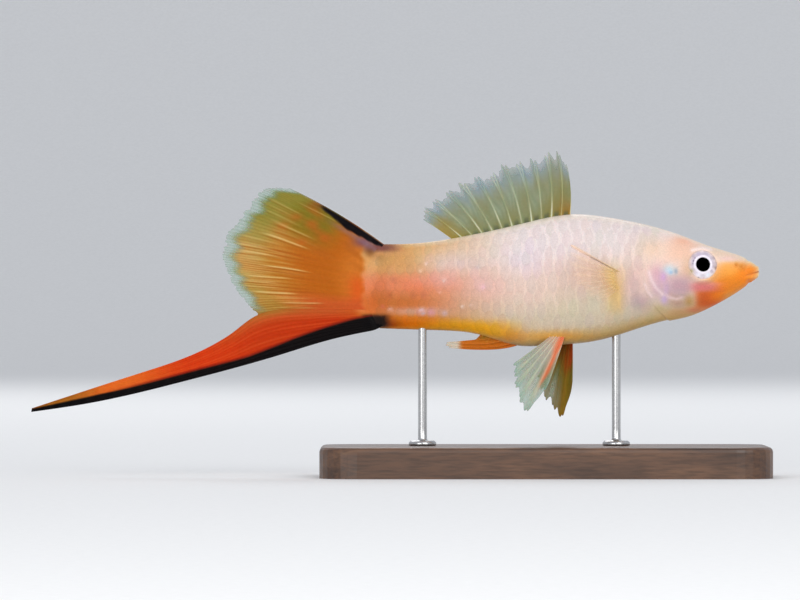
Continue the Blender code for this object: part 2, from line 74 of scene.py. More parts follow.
# The body's shape, with the same sizes as the solids.
SNOUT_X, SNOUT_Z = 34.4, 33.0
BACK_AT = (0, 1.0, 3.0, 8.5, 16, 24, 30.5, 38.5, 48.5, 55, 64)
BACK_HEIGHT = (0, 1.25, 2.42, 4.2, 6.9, 8.6, 9.1, 7.55, 5.4, 4.5, 4.4)
BELLY_AT = (0, 0.6, 1.3, 3.0, 8.5, 12, 14.5, 20, 27, 34, 39.5, 45, 52, 64)
BELLY_HEIGHT = (0, -1.3, -1.85, -3.1, -6.25, -7.55, -7.95, -9.5, -11.45, -12.05, -11.95, -10.3)
BELLY_HEIGHT += (-9.6, -9.2)
WIDTH_AT = (0, 1.0, 3.0, 8.5, 14, 20, 27, 34, 42, 50, 57, 64)
HALF_WIDTH = (0, 1.75, 2.75, 4.05, 4.95, 5.35, 5.2, 4.7, 3.75, 2.85, 2.1, 1.15)
SECTION_AT = (0, 4, 9, 16, 24, 36, 48, 64)
WIDEST_SHARE = (0.5, 0.56, 0.62, 0.55, 0.5, 0.48, 0.5, 0.5)
UPPER_POWER = (2.0, 2.4, 2.7, 2.3, 2.0, 1.9, 2.0, 2.0)
LOWER_POWER = (2.0, 1.9, 1.85, 2.0, 2.2, 2.2, 2.1, 2.0)
GILL_REACH, GILL_LEVEL, GILL_CURVE_ABOVE, GILL_CURVE_BELOW = 18.6, -1.5, 0.075, 0.1
FLAP_RISE, FLAP_LENGTH, FLAP_TOP = 0.32, 2.6, 5.0
MOUTH_FRONT, MOUTH_CORNER = (-0.6, 0.1), (2.3, -0.75)
LIP_RISE, LIP_AWAY, LIP_SPREAD = 0.26, 0.62, 0.34
LIP_FOLD_AT, LIP_FOLD_LEAN, LIP_FOLD_DEPTH, LIP_FOLD_SPREAD = 2.35, -0.22, 0.26, 0.32
TAIL_REACH, TAIL_LEVEL, TAIL_CURVE = 63.2, -2.4, 0.05
EYE_AT, EYE_RADIUS, CORNEA_RISE, EYE_DEPTH, EYE_SET = (9.3, 0.98), 2.44, 0.78, 1.5, 0.3
EYE_YAW, EYE_PITCH = math.radians(10), math.radians(8)

# The skin lies this far inside the solids, which leaves room for the scales.
COAT = 0.1
SKIN_POINTS = 288
TAIL_TAPER, TAIL_END_SHARE = 4.5, 0.25
MOUTH_DEPTH, MOUTH_HALF_WIDTH = 0.08, 0.09
NOSTRILS = (((3.0, 0.6), 0.25, 0.14), ((3.9, 0.95), 0.17, 0.08))
ORBIT_RIM, ORBIT_REACH = 2.38, 3.3

# Grooves of the head as (s, z) points: behind the cheek, and from the mouth's corner.
CHEEK_GROOVE = ((15.2, 1.2), (15.5, -0.6), (15.35, -2.6), (14.8, -3.9), (13.6, -4.4), (12.6, -4.2))
JAW_GROOVE = ((2.3, -0.75), (3.2, -1.9), (4.6, -2.9), (6.6, -3.6))
SNOUT_GROOVE = ((2.0, 0.1), (3.6, -0.6), (5.4, -1.5), (6.6, -1.9))

# Scales: how many rows go round the body and how many columns lie along it.
SCALE_ROWS = 22
SCALE_COLUMNS = 27
SCALE_TILT = (-0.04, 0.03)
SCALE_THICKNESS = 0.02
SCALE_FIRMNESS = (0.42, 1.3)

DORSAL_RAYS = 13
DORSAL_BASE = (30.4, 48.6)
DORSAL_TIPS = ((0, 31.0, 17.5), (0.09, 32.5, 19.4), (0.25, 36.6, 18.7), (0.5, 43.4, 16.4))
DORSAL_TIPS += ((0.75, 50.2, 12.9), (0.92, 54.0, 9.9), (1, 54.2, 8.3))
DORSAL_BOW = (0.09, 0.04)
FAN_RAYS = 15
FAN_BOW = (0.05, 0.0)
FAN_ROOT = (4.25, -6.33)
FAN_TIPS = ((0, 75.2, 13.2), (0.12, 79.2, 13.1), (0.27, 81.8, 10.4), (0.45, 85.6, 5.4))
FAN_TIPS += ((0.6, 86.2, 1.8), (0.8, 84.2, -2.2), (1, 80.3, -6.1))
SWORD_RAYS = 12
SWORD_UPPER = ((0, 62.4, -6.6), (0.21, 73.6, -6.5), (0.33, 80.2, -7.4), (0.42, 85.1, -10.4))
SWORD_UPPER += ((0.68, 99.0, -16.3), (1, 116.5, -22.0))
SWORD_LOWER = ((0, 60.4, -9.3), (0.13, 68.0, -10.85), (0.29, 76.9, -13.5), (0.54, 91.2, -17.45))
SWORD_LOWER += ((0.82, 106.8, -21.1), (1, 116.6, -22.6))
ANAL_ROOTS = ((37.9, -11.5), (39.3, -11.3), (40.8, -10.9), (42.2, -10.4), (43.4, -9.9), (44.3, -9.4))
ANAL_TIPS = ((49.8, -12.35), (50.3, -11.9), (49.9, -11.4), (46.4, -11.1), (45.3, -10.8), (44.9, -10.4))
ANAL_BOW, ANAL_BOW_AT = 0.13, 0.25
PELVIC_LENGTHS = (8.6, 14.6, 13.1, 11.6, 10.0, 8.6)
PELVIC_ROOT_LENGTH, PELVIC_ROOT_Z = 1.8, -10.6
PELVIC_RIGHT = {"root": 31.1, "sweep": (19, 54), "lean": 17}
PELVIC_LEFT = {"root": 29.9, "sweep": (0, 29), "lean": 17}
PECTORAL_LENGTHS = (10.3, 10.8, 10.6, 10.0, 9.1, 8.1, 7.0, 5.9, 4.8)
PECTORAL_ROOT, PECTORAL_ROOT_HEIGHT = (22.1, -0.45), 2.1
PECTORAL_SWEEP, PECTORAL_SPREAD = (30, -38), (40, 24)

BASE_HEIGHT = 5.0
ROD_RADIUS, ROD_FOOT_RADIUS, ROD_FOOT_HEIGHT = 0.7, 2.2, 0.8
ROD_AT = {"stand_rod_front": 23.0, "stand_rod_rear": 54.0}

# Tones of the body.
PEARL, PEACH, SAGE, GOLD = (236, 220, 216), (234, 204, 188), (220, 202, 176), (224, 184, 112)
APRICOT, CORAL, AMBER = (218, 162, 98), (222, 132, 88), (214, 122, 28)
# Painted rim highlights: along the back, with a paler line along the belly's edge, and along the snout's
# profile.
RIM_HIGHLIGHT, SNOUT_RIM_HIGHLIGHT = (246, 232, 208), (244, 228, 192)

# Patches of colour on the body, both sides alike: what it is, where (s, z), how far it
# reaches along and up, its colour, how strong it is, and how firm its edge is.
SOFT, FIRM, CRISP = 2.0, 3.0, 5.0
PATCHES = (
    ("orange snout", (2.6, -1.4), (5.6, 2.9), (240, 140, 32), 0.95, FIRM),
    ("orange tip", (1.0, -0.3), (1.9, 1.5), (244, 112, 4), 0.95, SOFT),
    ("light orange before the eye", (4.9, 0.2), (1.6, 1.2), (248, 166, 72), 0.85, FIRM),
    ("orange below the nostril", (2.6, -1.0), (1.6, 1.0), (250, 134, 30), 0.7, SOFT),
    ("orange below the eye", (5.4, -2.4), (2.2, 1.3), (236, 132, 34), 0.85, FIRM),
    ("pale bridge of the snout", (5.4, 3.3), (5.0, 1.75), (234, 206, 182), 0.95, CRISP),
    ("rose on the bridge", (5.4, 1.9), (1.6, 0.4), (240, 202, 196), 0.7, SOFT),
    ("orange-red jaw", (8.2, -4.6), (2.4, 1.75), (208, 88, 34), 0.95, CRISP),
    ("orange side of the jaw", (6.6, -4.0), (1.6, 1.3), (242, 132, 26), 0.8, SOFT),
    ("orange rim of the jaw", (8.4, -6.1), (2.8, 0.5), (228, 142, 84), 0.6, SOFT),
    ("rosy band", (9.2, -2.6), (2.6, 0.75), (216, 114, 114), 0.9, FIRM),
    ("light edge of the rosy band", (8.2, -2.1), (2.0, 0.3), (232, 150, 130), 0.5, SOFT),
    ("orange brow", (12.4, 4.7), (2.2, 1.1), (242, 176, 142), 0.75, SOFT),
    ("peach brow", (12.6, 2.8), (3.0, 1.6), (238, 188, 160), 0.8, FIRM),
    ("olive corner of the eye", (11.4, -0.2), (0.45, 0.7), (184, 166, 124), 0.7, SOFT),
    ("peach cheek", (11.9, 0.2), (1.0, 2.2), (222, 182, 152), 0.85, SOFT),
    ("cream behind the brow", (17.4, 3.4), (3.0, 2.2), (232, 196, 166), 0.7, SOFT),
    ("rose of the gill cover", (16.6, -0.6), (1.3, 1.6), (216, 168, 182), 0.75, SOFT),
    ("lilac cheek", (13.1, -2.6), (2.2, 1.9), (188, 154, 166), 0.85, FIRM),
    ("lilac gill cover", (16.4, -2.8), (1.4, 1.9), (202, 168, 184), 0.75, SOFT),
    ("blue gleam of the cheek", (14.7, 0.1), (0.95, 0.8), (194, 216, 228), 0.9, SOFT),
    ("blue spark of the cheek", (14.4, -0.3), (0.35, 0.3), (150, 190, 232), 0.6, SOFT),
    ("dark fleck of the cheek", (13.6, -0.1), (0.28, 0.45), (132, 154, 176), 0.7, SOFT),
    ("violet under the gleam", (15.6, -1.0), (0.55, 0.8), (206, 160, 214), 0.65, SOFT),
    ("upper lilac streak", (15.1, -2.9), (0.5, 1.1), (198, 166, 206), 0.5, SOFT),
    ("lower lilac streak", (15.4, -4.7), (0.6, 0.9), (204, 176, 226), 0.8, SOFT),
    ("tan of the lower gill cover", (13.2, -5.2), (1.7, 1.0), (186, 150, 134), 0.75, SOFT),
    ("olive jaw spot", (11.4, -4.9), (0.8, 1.0), (178, 140, 78), 0.75, SOFT),
    ("olive throat", (16.2, -6.1), (1.5, 0.8), (196, 176, 120), 0.6, SOFT),
    ("cream throat", (13.0, -6.7), (2.2, 0.8), (208, 160, 112), 0.7, SOFT),
    ("rosy throat", (10.6, -6.3), (1.3, 0.5), (214, 128, 98), 0.7, SOFT),
    ("yellow root of the pectoral fin", (23.4, -1.5), (2.2, 2.0), (240, 202, 138), 0.8, SOFT),
    ("golden patch behind the gill", (23.3, -4.2), (1.5, 2.7), (228, 182, 104), 0.8, FIRM),
    ("pink behind the gill", (20.4, -2.0), (1.6, 2.6), (218, 180, 178), 0.75, SOFT),
    ("lilac behind the gill", (19.2, -4.9), (1.7, 1.4), (190, 158, 166), 0.7, SOFT),
    ("sage flank", (27.5, -5.4), (4.2, 2.8), (216, 206, 178), 0.6, SOFT),
    ("lavender flank", (37.8, 1.6), (3.4, 2.2), (228, 210, 220), 0.5, SOFT),
    ("pink flank", (44.2, -2.2), (3.4, 2.0), (236, 184, 178), 0.5, SOFT),
    # The next three patches, like the golden underline further down, are lighter than their own colour:
    # painted light that lifts the shade low on the body.
    ("golden belly with painted light", (32.8, -10.5), (6.0, 0.9), (242, 172, 74), 0.85, SOFT),
    ("orange root of the anal fin with painted light", (40.2, -10.5), (2.4, 1.3), (230, 144, 66), 0.8, SOFT),
    ("golden vent with painted light", (45.6, -9.4), (6.4, 1.4), (248, 172, 30), 0.92, FIRM),
    ("lilac peduncle", (49.0, 1.3), (5.0, 1.9), (226, 202, 196), 0.75, SOFT),
    ("tan peduncle", (59.5, 1.4), (4.2, 2.6), (212, 154, 92), 0.75, FIRM),
    ("coral band", (56.8, -2.4), (7.2, 1.6), (230, 128, 84), 0.85, FIRM),
    ("bright coral", (54.4, -1.6), (1.8, 0.8), (238, 146, 122), 0.4, SOFT),
    ("pink start of the coral band", (50.6, -1.4), (2.6, 1.5), (234, 172, 162), 0.7, SOFT),
    ("orange-tan band", (57.6, -5.0), (6.0, 1.4), (204, 108, 44), 0.85, SOFT),
    ("pale row", (54.4, -6.5), (4.4, 0.6), (214, 164, 146), 0.7, FIRM),
    ("orange underline", (56.4, -8.6), (4.8, 1.2), (222, 108, 10), 0.92, FIRM),
    # Lighter than its own colour: painted light that lifts the shade low on the body.
    ("golden underline with painted light", (50.9, -8.9), (3.2, 0.9), (232, 152, 24), 0.8, SOFT),
    ("orange end of the peduncle", (62.0, -5.2), (2.0, 2.3), (204, 100, 34), 0.8, SOFT),
    ("violet streak", (60.8, 3.7), (2.9, 0.7), (110, 60, 62), 0.85, FIRM),
    ("brown blotch", (62.4, 3.0), (0.9, 0.8), (112, 66, 34), 0.7, SOFT),
    ("second brown blotch", (60.9, 2.2), (0.7, 0.7), (168, 110, 58), 0.55, SOFT),
    ("brown edge of the black blotch", (59.4, -8.6), (1.9, 0.8), (132, 52, 10), 0.8, SOFT),
    ("black blotch", (61.6, -8.2), (2.3, 1.2), (14, 3, 2), 0.99, CRISP),
)

# Small painted highlights (gleams) and darker flecks of the scales: where, how large, colour.
SCALE_HIGHLIGHTS_AND_FLECKS = (
    ((59.1, -6.2), 0.35, (250, 206, 206)),
    ((60.4, -5.7), 0.3, (226, 110, 90)),
    ((54.1, -6.3), 0.38, (250, 240, 255)),
    ((54.0, -6.9), 0.25, (196, 206, 222)),
    ((52.6, -6.7), 0.55, (222, 148, 176)),
    ((50.4, -6.8), 0.45, (212, 184, 196)),
    ((47.6, -5.7), 0.22, (255, 252, 246)),
    ((46.3, -5.6), 0.2, (255, 232, 222)),
    ((50.6, -1.6), 0.24, (255, 244, 236)),
    ((54.3, 0.0), 0.3, (250, 214, 190)),
    ((53.4, 1.1), 0.3, (244, 210, 196)),
    ((51.3, -3.4), 0.22, (250, 196, 184)),
    ((44.3, -2.6), 0.45, (244, 192, 204)),
    ((58.6, -1.4), 0.45, (188, 104, 72)),
    ((59.2, -3.9), 0.45, (182, 96, 52)),
    ((55.4, -3.9), 0.45, (186, 100, 64)),
    ((53.8, -3.9), 0.45, (190, 106, 74)),
    ((45.2, 0.6), 0.4, (206, 190, 186)),
)

# Thin pale lines on the head as (s, z) points, half width, colour: painted highlights along the rear edge of
# the gill cover and over the eye's rim, a pale edge of the gill membrane, and a pale line at the lower corner
# of the cheek.
HIGHLIGHT_AND_PALE_LINES = (
    (((17.9, -0.2), (17.5, -1.5), (16.7, -2.8), (15.7, -3.8)), 0.28, (240, 216, 216)),
    (((18.5, -2.2), (18.2, -3.2), (17.5, -4.1)), 0.26, (236, 210, 208)),
    (((15.1, -3.9), (14.4, -4.3), (13.5, -4.5), (12.6, -4.2)), 0.22, (222, 194, 194)),
    (((8.0, 3.35), (9.4, 3.58), (11.0, 3.25)), 0.3, (250, 230, 228)),
)


def natural_spline(knots, values):
    """The natural cubic spline through the values at the knots."""
    knots = np.array(knots, float)
    values = np.array(values, float)
    step = np.diff(knots)
    slope = np.diff(values, axis=0) / (step if values.ndim == 1 else step[:, None])
    system = np.eye(len(knots))
    right = np.zeros_like(values)
    for i in range(1, len(knots) - 1):
        system[i, i - 1 : i + 2] = step[i - 1], 2 * (step[i - 1] + step[i]), step[i]
        right[i] = 6 * (slope[i] - slope[i - 1])
    bend = np.linalg.solve(system, right)

    def at(x):
        x = np.asarray(x, float)
        i = np.clip(np.searchsorted(knots, x) - 1, 0, len(step) - 1)
        width, left, ahead = step[i], x - knots[i], knots[i + 1] - x
        if values.ndim == 2:
            width, left, ahead = width[..., None], left[..., None], ahead[..., None]
        cubic = (bend[i] * ahead**3 + bend[i + 1] * left**3) / (6 * width)
        start = (values[i] / width - bend[i] * width / 6) * ahead
        end = (values[i + 1] / width - bend[i + 1] * width / 6) * left
        return cubic + start + end

    return at


def along_body(stations, values):
    """A spline over the square root of the distance, which rounds the snout."""
    curve = natural_spline(np.sqrt(stations), values)
    return lambda s: curve(np.sqrt(np.maximum(s, 0.0)))


back_height = along_body(BACK_AT, BACK_HEIGHT)
belly_height = along_body(BELLY_AT, BELLY_HEIGHT)
half_width = along_body(WIDTH_AT, HALF_WIDTH)


def edge_curve(points):
    """A curve in the body's middle plane through points given as (share, s, z)."""
    return natural_spline([p[0] for p in points], [(p[1], 0.0, p[2]) for p in points])


dorsal_tips, fan_tips = edge_curve(DORSAL_TIPS), edge_curve(FAN_TIPS)
sword_upper, sword_lower = edge_curve(SWORD_UPPER), edge_curve(SWORD_LOWER)


def ramp(x, start, end):
    """0 before start and 1 after end, with a smooth rise between. start may be larger."""
    share = np.clip((x - start) / (end - start), 0, 1)
    return share * share * (3 - 2 * share)


def bump(distance, spread):
    """1 at no distance, falling smoothly to 0."""
    return np.exp(-((distance / spread) ** 2))


def between(ends, share):
    return ends[0] + (ends[1] - ends[0]) * share


def gill_edge(z):
    """How far behind the snout the gill cover ends at height z."""
    curve = np.where(z > GILL_LEVEL, GILL_CURVE_ABOVE, GILL_CURVE_BELOW)
    return GILL_REACH - curve * (z - GILL_LEVEL) ** 2


def tail_end(z):
    """The rear end of the tail's flesh at height z."""
    return TAIL_REACH - TAIL_CURVE * (z - TAIL_LEVEL) ** 2


def tail_taper(s, z):
    """The share of its width that the flesh keeps near its end, where it runs into the fin."""
    return 1 - (1 - TAIL_END_SHARE) * ramp(s - tail_end(z), -TAIL_TAPER, 0)


def section(s, angle):
    """y and z of the section at s: angle 0 is the belly, and a quarter turn the right side."""
    side, up = np.sin(angle), -np.cos(angle)
    top, bottom = back_height(s), belly_height(s)
    level = bottom + (top - bottom) * np.interp(s, SECTION_AT, WIDEST_SHARE)
    upper, lower = np.interp(s, SECTION_AT, UPPER_POWER), np.interp(s, SECTION_AT, LOWER_POWER)
    power = 2 / np.where(up > 0, upper, lower)
    height = np.where(up > 0, top - level, level - bottom)
    y = -half_width(s) * np.sign(side) * np.abs(side) ** power
    z = level + height * np.sign(up) * np.abs(up) ** power
    return y, z


class EvenTurns:
    """Finds the angle in a section for a turn, so that equal turns are equal lengths."""

    def __init__(self):
        self.roots = np.linspace(0.05, 8.0, 200)
        fine = np.linspace(0, math.pi, 721)
        even = np.linspace(0, 1, 361)
        self.angles, self.girths = [], []
        for root in self.roots:
            y, z = section(np.full_like(fine, root**2), fine)
            walked = np.concatenate([[0], np.cumsum(np.hypot(np.diff(y), np.diff(z)))])
            self.angles.append(np.interp(even, walked / walked[-1], fine))
            self.girths.append(2 * walked[-1])
        self.angles = np.array(self.angles)

    def angle(self, s, turn):
        turn = np.mod(turn, 1.0)
        folded = np.where(turn > 0.5, 1 - turn, turn) * 2 * 360
        place = (np.sqrt(s) - self.roots[0]) / (self.roots[1] - self.roots[0])
        i = np.clip(place.astype(int), 0, len(self.roots) - 2)
        j = np.clip(folded.astype(int), 0, 359)
        a, b = np.clip(place - i, 0, 1), folded - j
        table = self.angles
        low = table[i, j] * (1 - b) + table[i, j + 1] * b
        high = table[i + 1, j] * (1 - b) + table[i + 1, j + 1] * b
        angle = low * (1 - a) + high * a
        return np.where(turn > 0.5, 2 * math.pi - angle, angle)

    def girth(self, s):
        return np.interp(np.sqrt(s), self.roots, self.girths)


turns = EvenTurns()


def skin_point(s, angle, raised):
    """Points (s, y, z) of the section, moved outwards across it by raised."""
    y, z = section(s, angle)
    y0, z0 = section(s, angle - 1e-3)
    y1, z1 = section(s, angle + 1e-3)
    along_y, along_z = y1 - y0, z1 - z0
    size = np.maximum(np.hypot(along_y, along_z), 1e-9)
    return np.stack((s, y - along_z / size * raised, z + along_y / size * raised), -1)


def angle_at_height(s, z):
    """The angle round the right side at which the section has height z."""
    low = np.zeros(np.broadcast(s, z).shape)
    high = np.full_like(low, math.pi)
    for _ in range(40):
        middle = (low + high) / 2
        under = section(s, middle)[1] < z
        low, high = np.where(under, middle, low), np.where(under, high, middle)
    return (low + high) / 2


def distance_to_line(s, z, points):
    """How far (s, z) is from a line through the points."""
    nearest = np.full(np.shape(s), 1e9)
    for (s0, z0), (s1, z1) in zip(points, points[1:]):
        length = (s1 - s0) ** 2 + (z1 - z0) ** 2
        share = np.clip(((s - s0) * (s1 - s0) + (z - z0) * (z1 - z0)) / length, 0, 1)
        away = np.hypot(s - s0 - share * (s1 - s0), z - z0 - share * (z1 - z0))
        nearest = np.minimum(nearest, away)
    return nearest


def above_mouth(s, z):
    """Signed distance above the line of the mouth, from the side."""
    (s0, z0), (s1, z1) = MOUTH_FRONT, MOUTH_CORNER
    length = math.hypot(s1 - s0, z1 - z0)
    return ((s1 - s0) * (z - z0) - (z1 - z0) * (s - s0)) / length


def lip_relief(s, z):
    """How far the lips stand out, and how far the fold behind them goes in."""
    above = np.abs(above_mouth(s, z))
    before_corner = 1 / (1 + np.exp(np.clip((s - MOUTH_CORNER[0]) / 0.15, -50, 50)))
    lips = LIP_RISE * bump(above - LIP_AWAY, LIP_SPREAD) * before_corner
    fold_at = LIP_FOLD_AT + LIP_FOLD_LEAN * np.abs(z)
    fold = LIP_FOLD_DEPTH * bump(s - fold_at, LIP_FOLD_SPREAD) * np.minimum(above, 1.0)
    return lips - fold


def fine_relief(s, y, z):
    """The small forms of the head, measured along the skin's own normal."""
    above = above_mouth(s, z)
    before_corner = 1 / (1 + np.exp(np.clip((s - MOUTH_CORNER[0]) / 0.1, -50, 50)))
    relief = -MOUTH_DEPTH * bump(above, MOUTH_HALF_WIDTH) * before_corner
    for (s0, z0), radius, depth in NOSTRILS:
        away = np.hypot(s - s0, z - z0)
        relief -= depth * bump(away, radius)
        relief += 0.05 * bump(away - 1.9 * radius, radius * 0.7)
    relief -= 0.05 * bump(distance_to_line(s, z, CHEEK_GROOVE), 0.25)
    relief += 0.05 * bump(distance_to_line(s, z, CHEEK_GROOVE) - 0.6, 0.4)
    relief -= 0.05 * bump(distance_to_line(s, z, JAW_GROOVE), 0.22)
    relief -= 0.03 * bump(distance_to_line(s, z, SNOUT_GROOVE), 0.22)
    return relief


def eye_frame(side):
    """The eye's place, with its local +Z looking out of the head. side is -1 on the right."""
    s, z = EYE_AT
    centre = skin_point(np.array(s), angle_at_height(s, z), -EYE_SET)
    out = Vector((math.sin(EYE_YAW), side * math.cos(EYE_YAW), math.sin(EYE_PITCH)))
    turn = out.to_track_quat("Z", "Y").to_matrix().to_4x4()
    place = Vector((SNOUT_X - centre[0], -side * centre[1], SNOUT_Z + centre[2]))
    return Matrix.Translation(place) @ turn


def seat_eyes(points):
    """Lifts the skin to each eye's rim and sinks it under the eyeball."""
    world = to_world(points)
    for side in (-1, 1):
        frame = np.array(eye_frame(side))
        centre, turn = frame[:3, 3], frame[:3, :3]
        local = (world - centre) @ turn
        near = (local[..., 2] > -2.5) * ramp(world[..., 1] * side, 1.2, 2.6)
        away = np.hypot(local[..., 0], local[..., 1])
        level = 0.05 - 1.5 * ramp(away, ORBIT_RIM, 1.7)
        pull = ramp(away, ORBIT_REACH, ORBIT_RIM) * near
        outside = np.maximum(local[..., 2] - level, 0) * (away > ORBIT_RIM)
        local[..., 2] += (level - local[..., 2] + outside * 0.5) * pull
        world = local @ turn.T + centre
    return from_world(world)


def to_world(points):
    """Millimetres in the part's frame, from the body's own (s, y, z)."""
    return points * (-1, 1, 1) + (SNOUT_X, 0, SNOUT_Z)


def from_world(points):
    return (points - (SNOUT_X, 0, SNOUT_Z)) * (-1, 1, 1)


def mix(colour, other, share):
    return colour + (np.array(other, float) - colour) * np.asarray(share)[..., None]


def body_colour(s, y, z):
    """The markings of skin and scales at points of the body."""
    bottom, top = belly_height(s), back_height(s)
    height = np.clip((z - bottom) / np.maximum(top - bottom, 0.1), 0, 1)
    trunk = mix(np.array(PEARL, float) + 0 * s[..., None], PEACH, ramp(height, 0.78, 0.5))
    trunk = mix(trunk, SAGE, ramp(height, 0.45, 0.2))
    trunk = mix(trunk, GOLD, ramp(height, 0.16, 0.0))
    tail = mix(np.array(APRICOT, float) + 0 * s[..., None], CORAL, ramp(height, 0.85, 0.5))
    tail = mix(tail, AMBER, ramp(height, 0.28, 0.06))
    colour = trunk + (tail - trunk) * ramp(s, 37, 59)[..., None]
    for _, (s0, z0), (along, up), tint, strength, firmness in PATCHES:
        away = np.abs((s - s0) / along) ** firmness + np.abs((z - z0) / up) ** firmness
        colour = mix(colour, tint, strength * np.exp(-away))
    # Painted highlights and darker flecks of the scales.
    for (s0, z0), radius, tint in SCALE_HIGHLIGHTS_AND_FLECKS:
        colour = mix(colour, tint, 0.7 * bump(np.hypot(s - s0, z - z0), radius))
    # Painted highlights and pale lines of the head.
    for line, width, tint in HIGHLIGHT_AND_PALE_LINES:
        colour = mix(colour, tint, 0.7 * bump(distance_to_line(s, z, line), width))
    # Painted rim highlight along the edge of the back, and a paler line of the same tone along the belly's
    # edge.
    rim = ramp(height, 0.93, 1.0) * ramp(s, 60, 52) + 0.6 * ramp(height, 0.05, 0.0) * ramp(s, 20, 30)
    colour = mix(colour, RIM_HIGHLIGHT, 0.55 * np.clip(rim, 0, 1))
    for (s0, z0), radius, _ in NOSTRILS:
        colour = mix(colour, (196, 116, 34), 0.6 * bump(np.hypot(s - s0, z - z0), 2 * radius))
    # Painted rim highlight along the snout's profile and round its tip.
    rim = np.maximum(bump(y, 1.6) * ramp(s, 4.2, 1.8), ramp(s, 0.6, 0.2)) * ramp(z, -1.7, -0.8)
    colour = mix(colour, SNOUT_RIM_HIGHLIGHT, 0.95 * rim)
    # Painted shade along the cleft of the mouth, strongest at the tip of the snout.
    gap = bump(above_mouth(s, z), 0.12) * ramp(s, 2.6, 2.1)
    return mix(colour, (178, 80, 26), between((0.75, 0.3), ramp(s, 0.2, 1.4)) * gap)


def linear(colour):
    """Linear colour, 0 to 1, from sRGB, 0 to 255."""
    share = np.clip(colour / 255, 0, 1)
    return np.where(share < 0.04045, share / 12.92, ((share + 0.055) / 1.055) ** 2.4)


def new_piece(name, points, faces, material, replaced=(), colour=None, opacity=None):
    """A piece from points in the part's frame in millimetres, with its faces outwards."""
    corners = np.array([(f[0], f[1], f[2]) for f in faces])
    volume = np.einsum("ij,ij->", np.cross(points[corners[:, 0]], points[corners[:, 1]]),
                       points[corners[:, 2]])
    quads = [f for f in faces if len(f) == 4]
    if quads:
        q = np.array(quads)
        volume += np.einsum("ij,ij->", np.cross(points[q[:, 0]], points[q[:, 2]]), points[q[:, 3]])
    if volume < 0:
        faces = [f[::-1] for f in faces]
    mesh = bpy.data.meshes.new(name)
    mesh.from_pydata((points * MM).tolist(), [], faces)
    mesh.shade_smooth()
    if colour is not None:
        rgba = np.ones((len(points), 4), np.float32)
        rgba[:, :3] = linear(colour.reshape(-1, 3))
        if opacity is not None:
            rgba[:, 3] = opacity.reshape(-1)
        paint = mesh.color_attributes.new("paint", "FLOAT_COLOR", "POINT")
        paint.data.foreach_set("color", rgba.ravel())
    mesh.materials.append(material)
    obj = bpy.data.objects.new(name, mesh)
    bpy.context.scene.collection.objects.link(obj)
    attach(obj, "root")
    if replaced:
        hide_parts(*replaced)
    return obj


def ring_faces(rings, count):
    """Quads between rings of count points each, which close round."""
    faces = []
    k = np.arange(count)
    after = (k + 1) % count
    for i in range(rings - 1):
        a = i * count
        faces += np.stack((a + k, a + after, a + count + after, a + count + k), 1).tolist()
    return faces


def build_skin(material):
    """One skin from the tip of the snout to the end of the tail's flesh."""
    near = np.arange(0.1, 1.0, 0.05) ** 2
    head = np.concatenate([near, np.arange(1.0, 4.0, 0.1), np.arange(4.0, GILL_REACH - 0.1, 0.15)])
    head = np.append(head, GILL_REACH) / GILL_REACH
    flap_steps = ((0.08, 0.8), (0.17, 0.5), (0.25, 0.22), (0.35, 0.04), (0.5, -0.05), (0.7, 0.0))
    body = np.linspace(0, 1, 168)[3:]

    # Each ring is where s = gill * gill_edge + tail * tail_end + shift.
    gill = np.concatenate([head, np.ones(len(flap_steps)), 1 - body])[:, None]
    tail = np.concatenate([0 * head, np.zeros(len(flap_steps)), body])[:, None]
    shift = np.concatenate([0 * head, [p[0] for p in flap_steps], 0 * body])[:, None]
    flap = np.concatenate([0 * head, [p[1] for p in flap_steps], 0 * body])[:, None]
    turn = np.arange(SKIN_POINTS)[None, :] / SKIN_POINTS
    z = np.zeros((len(gill), SKIN_POINTS))
    for _ in range(10):
        s = gill * gill_edge(z) + tail * tail_end(z) + shift
        angle = turns.angle(s, turn)
        z = section(s, angle)[1]

    is_head = np.arange(len(gill))[:, None] < len(head)
    to_edge = np.maximum(gill_edge(z) - s, 0)
    flap = np.where(is_head, bump(to_edge, FLAP_LENGTH), flap)
    firm = between((0.2, 0.7), ramp(z, -6.5, -9.0))
    raised = firm * flap * FLAP_RISE * bump(np.maximum(z - FLAP_TOP, 0), 1.0)
    raised += np.where(is_head, 0.7 * lip_relief(s, z), 0)
    tip = np.exp(-s / 0.5)
    points = skin_point(s, angle, raised - COAT * (1 - tip))
    points[..., 0] += COAT * tip
    colour = body_colour(*np.moveaxis(points, -1, 0))

    points[..., 1] *= tail_taper(points[..., 0], z)

    across = np.roll(points, -1, 1) - np.roll(points, 1, 1)
    normal = np.cross(np.gradient(points, axis=0), across)
    normal /= np.maximum(np.linalg.norm(normal, axis=2, keepdims=True), 1e-9)
    outward = np.sign(np.sum(normal[40] * (points[40] * (0, 1, 1)), axis=-1).mean())
    points += normal * outward * fine_relief(*np.moveaxis(points, -1, 0))[..., None]
    points = seat_eyes(points)

    count = SKIN_POINTS
    flat = np.concatenate([points.reshape(-1, 3), [(COAT + 0.25, 0.0, -0.1)]])
    colour = np.concatenate([colour.reshape(-1, 3), colour[:1].reshape(-1, 3)[:1]])
    faces = ring_faces(len(points), count)
    faces += [((k + 1) % count, k, len(flat) - 1) for k in range(count)]
    last = (len(points) - 1) * count
    for k in range(count // 2):
        strip = [last + k, last + k + 1, last + (-k - 1) % count, last + (-k) % count]
        faces.append(strip[:3] if k == 0 else [strip[0], strip[1], strip[3]] if k == count // 2 - 1
                     else strip)
    skin = new_piece("skin", to_world(flat), faces, material,
                     ("head", "trunk", "tail"), colour)
    skin.data.set_sharp_from_angle(angle=math.radians(75))


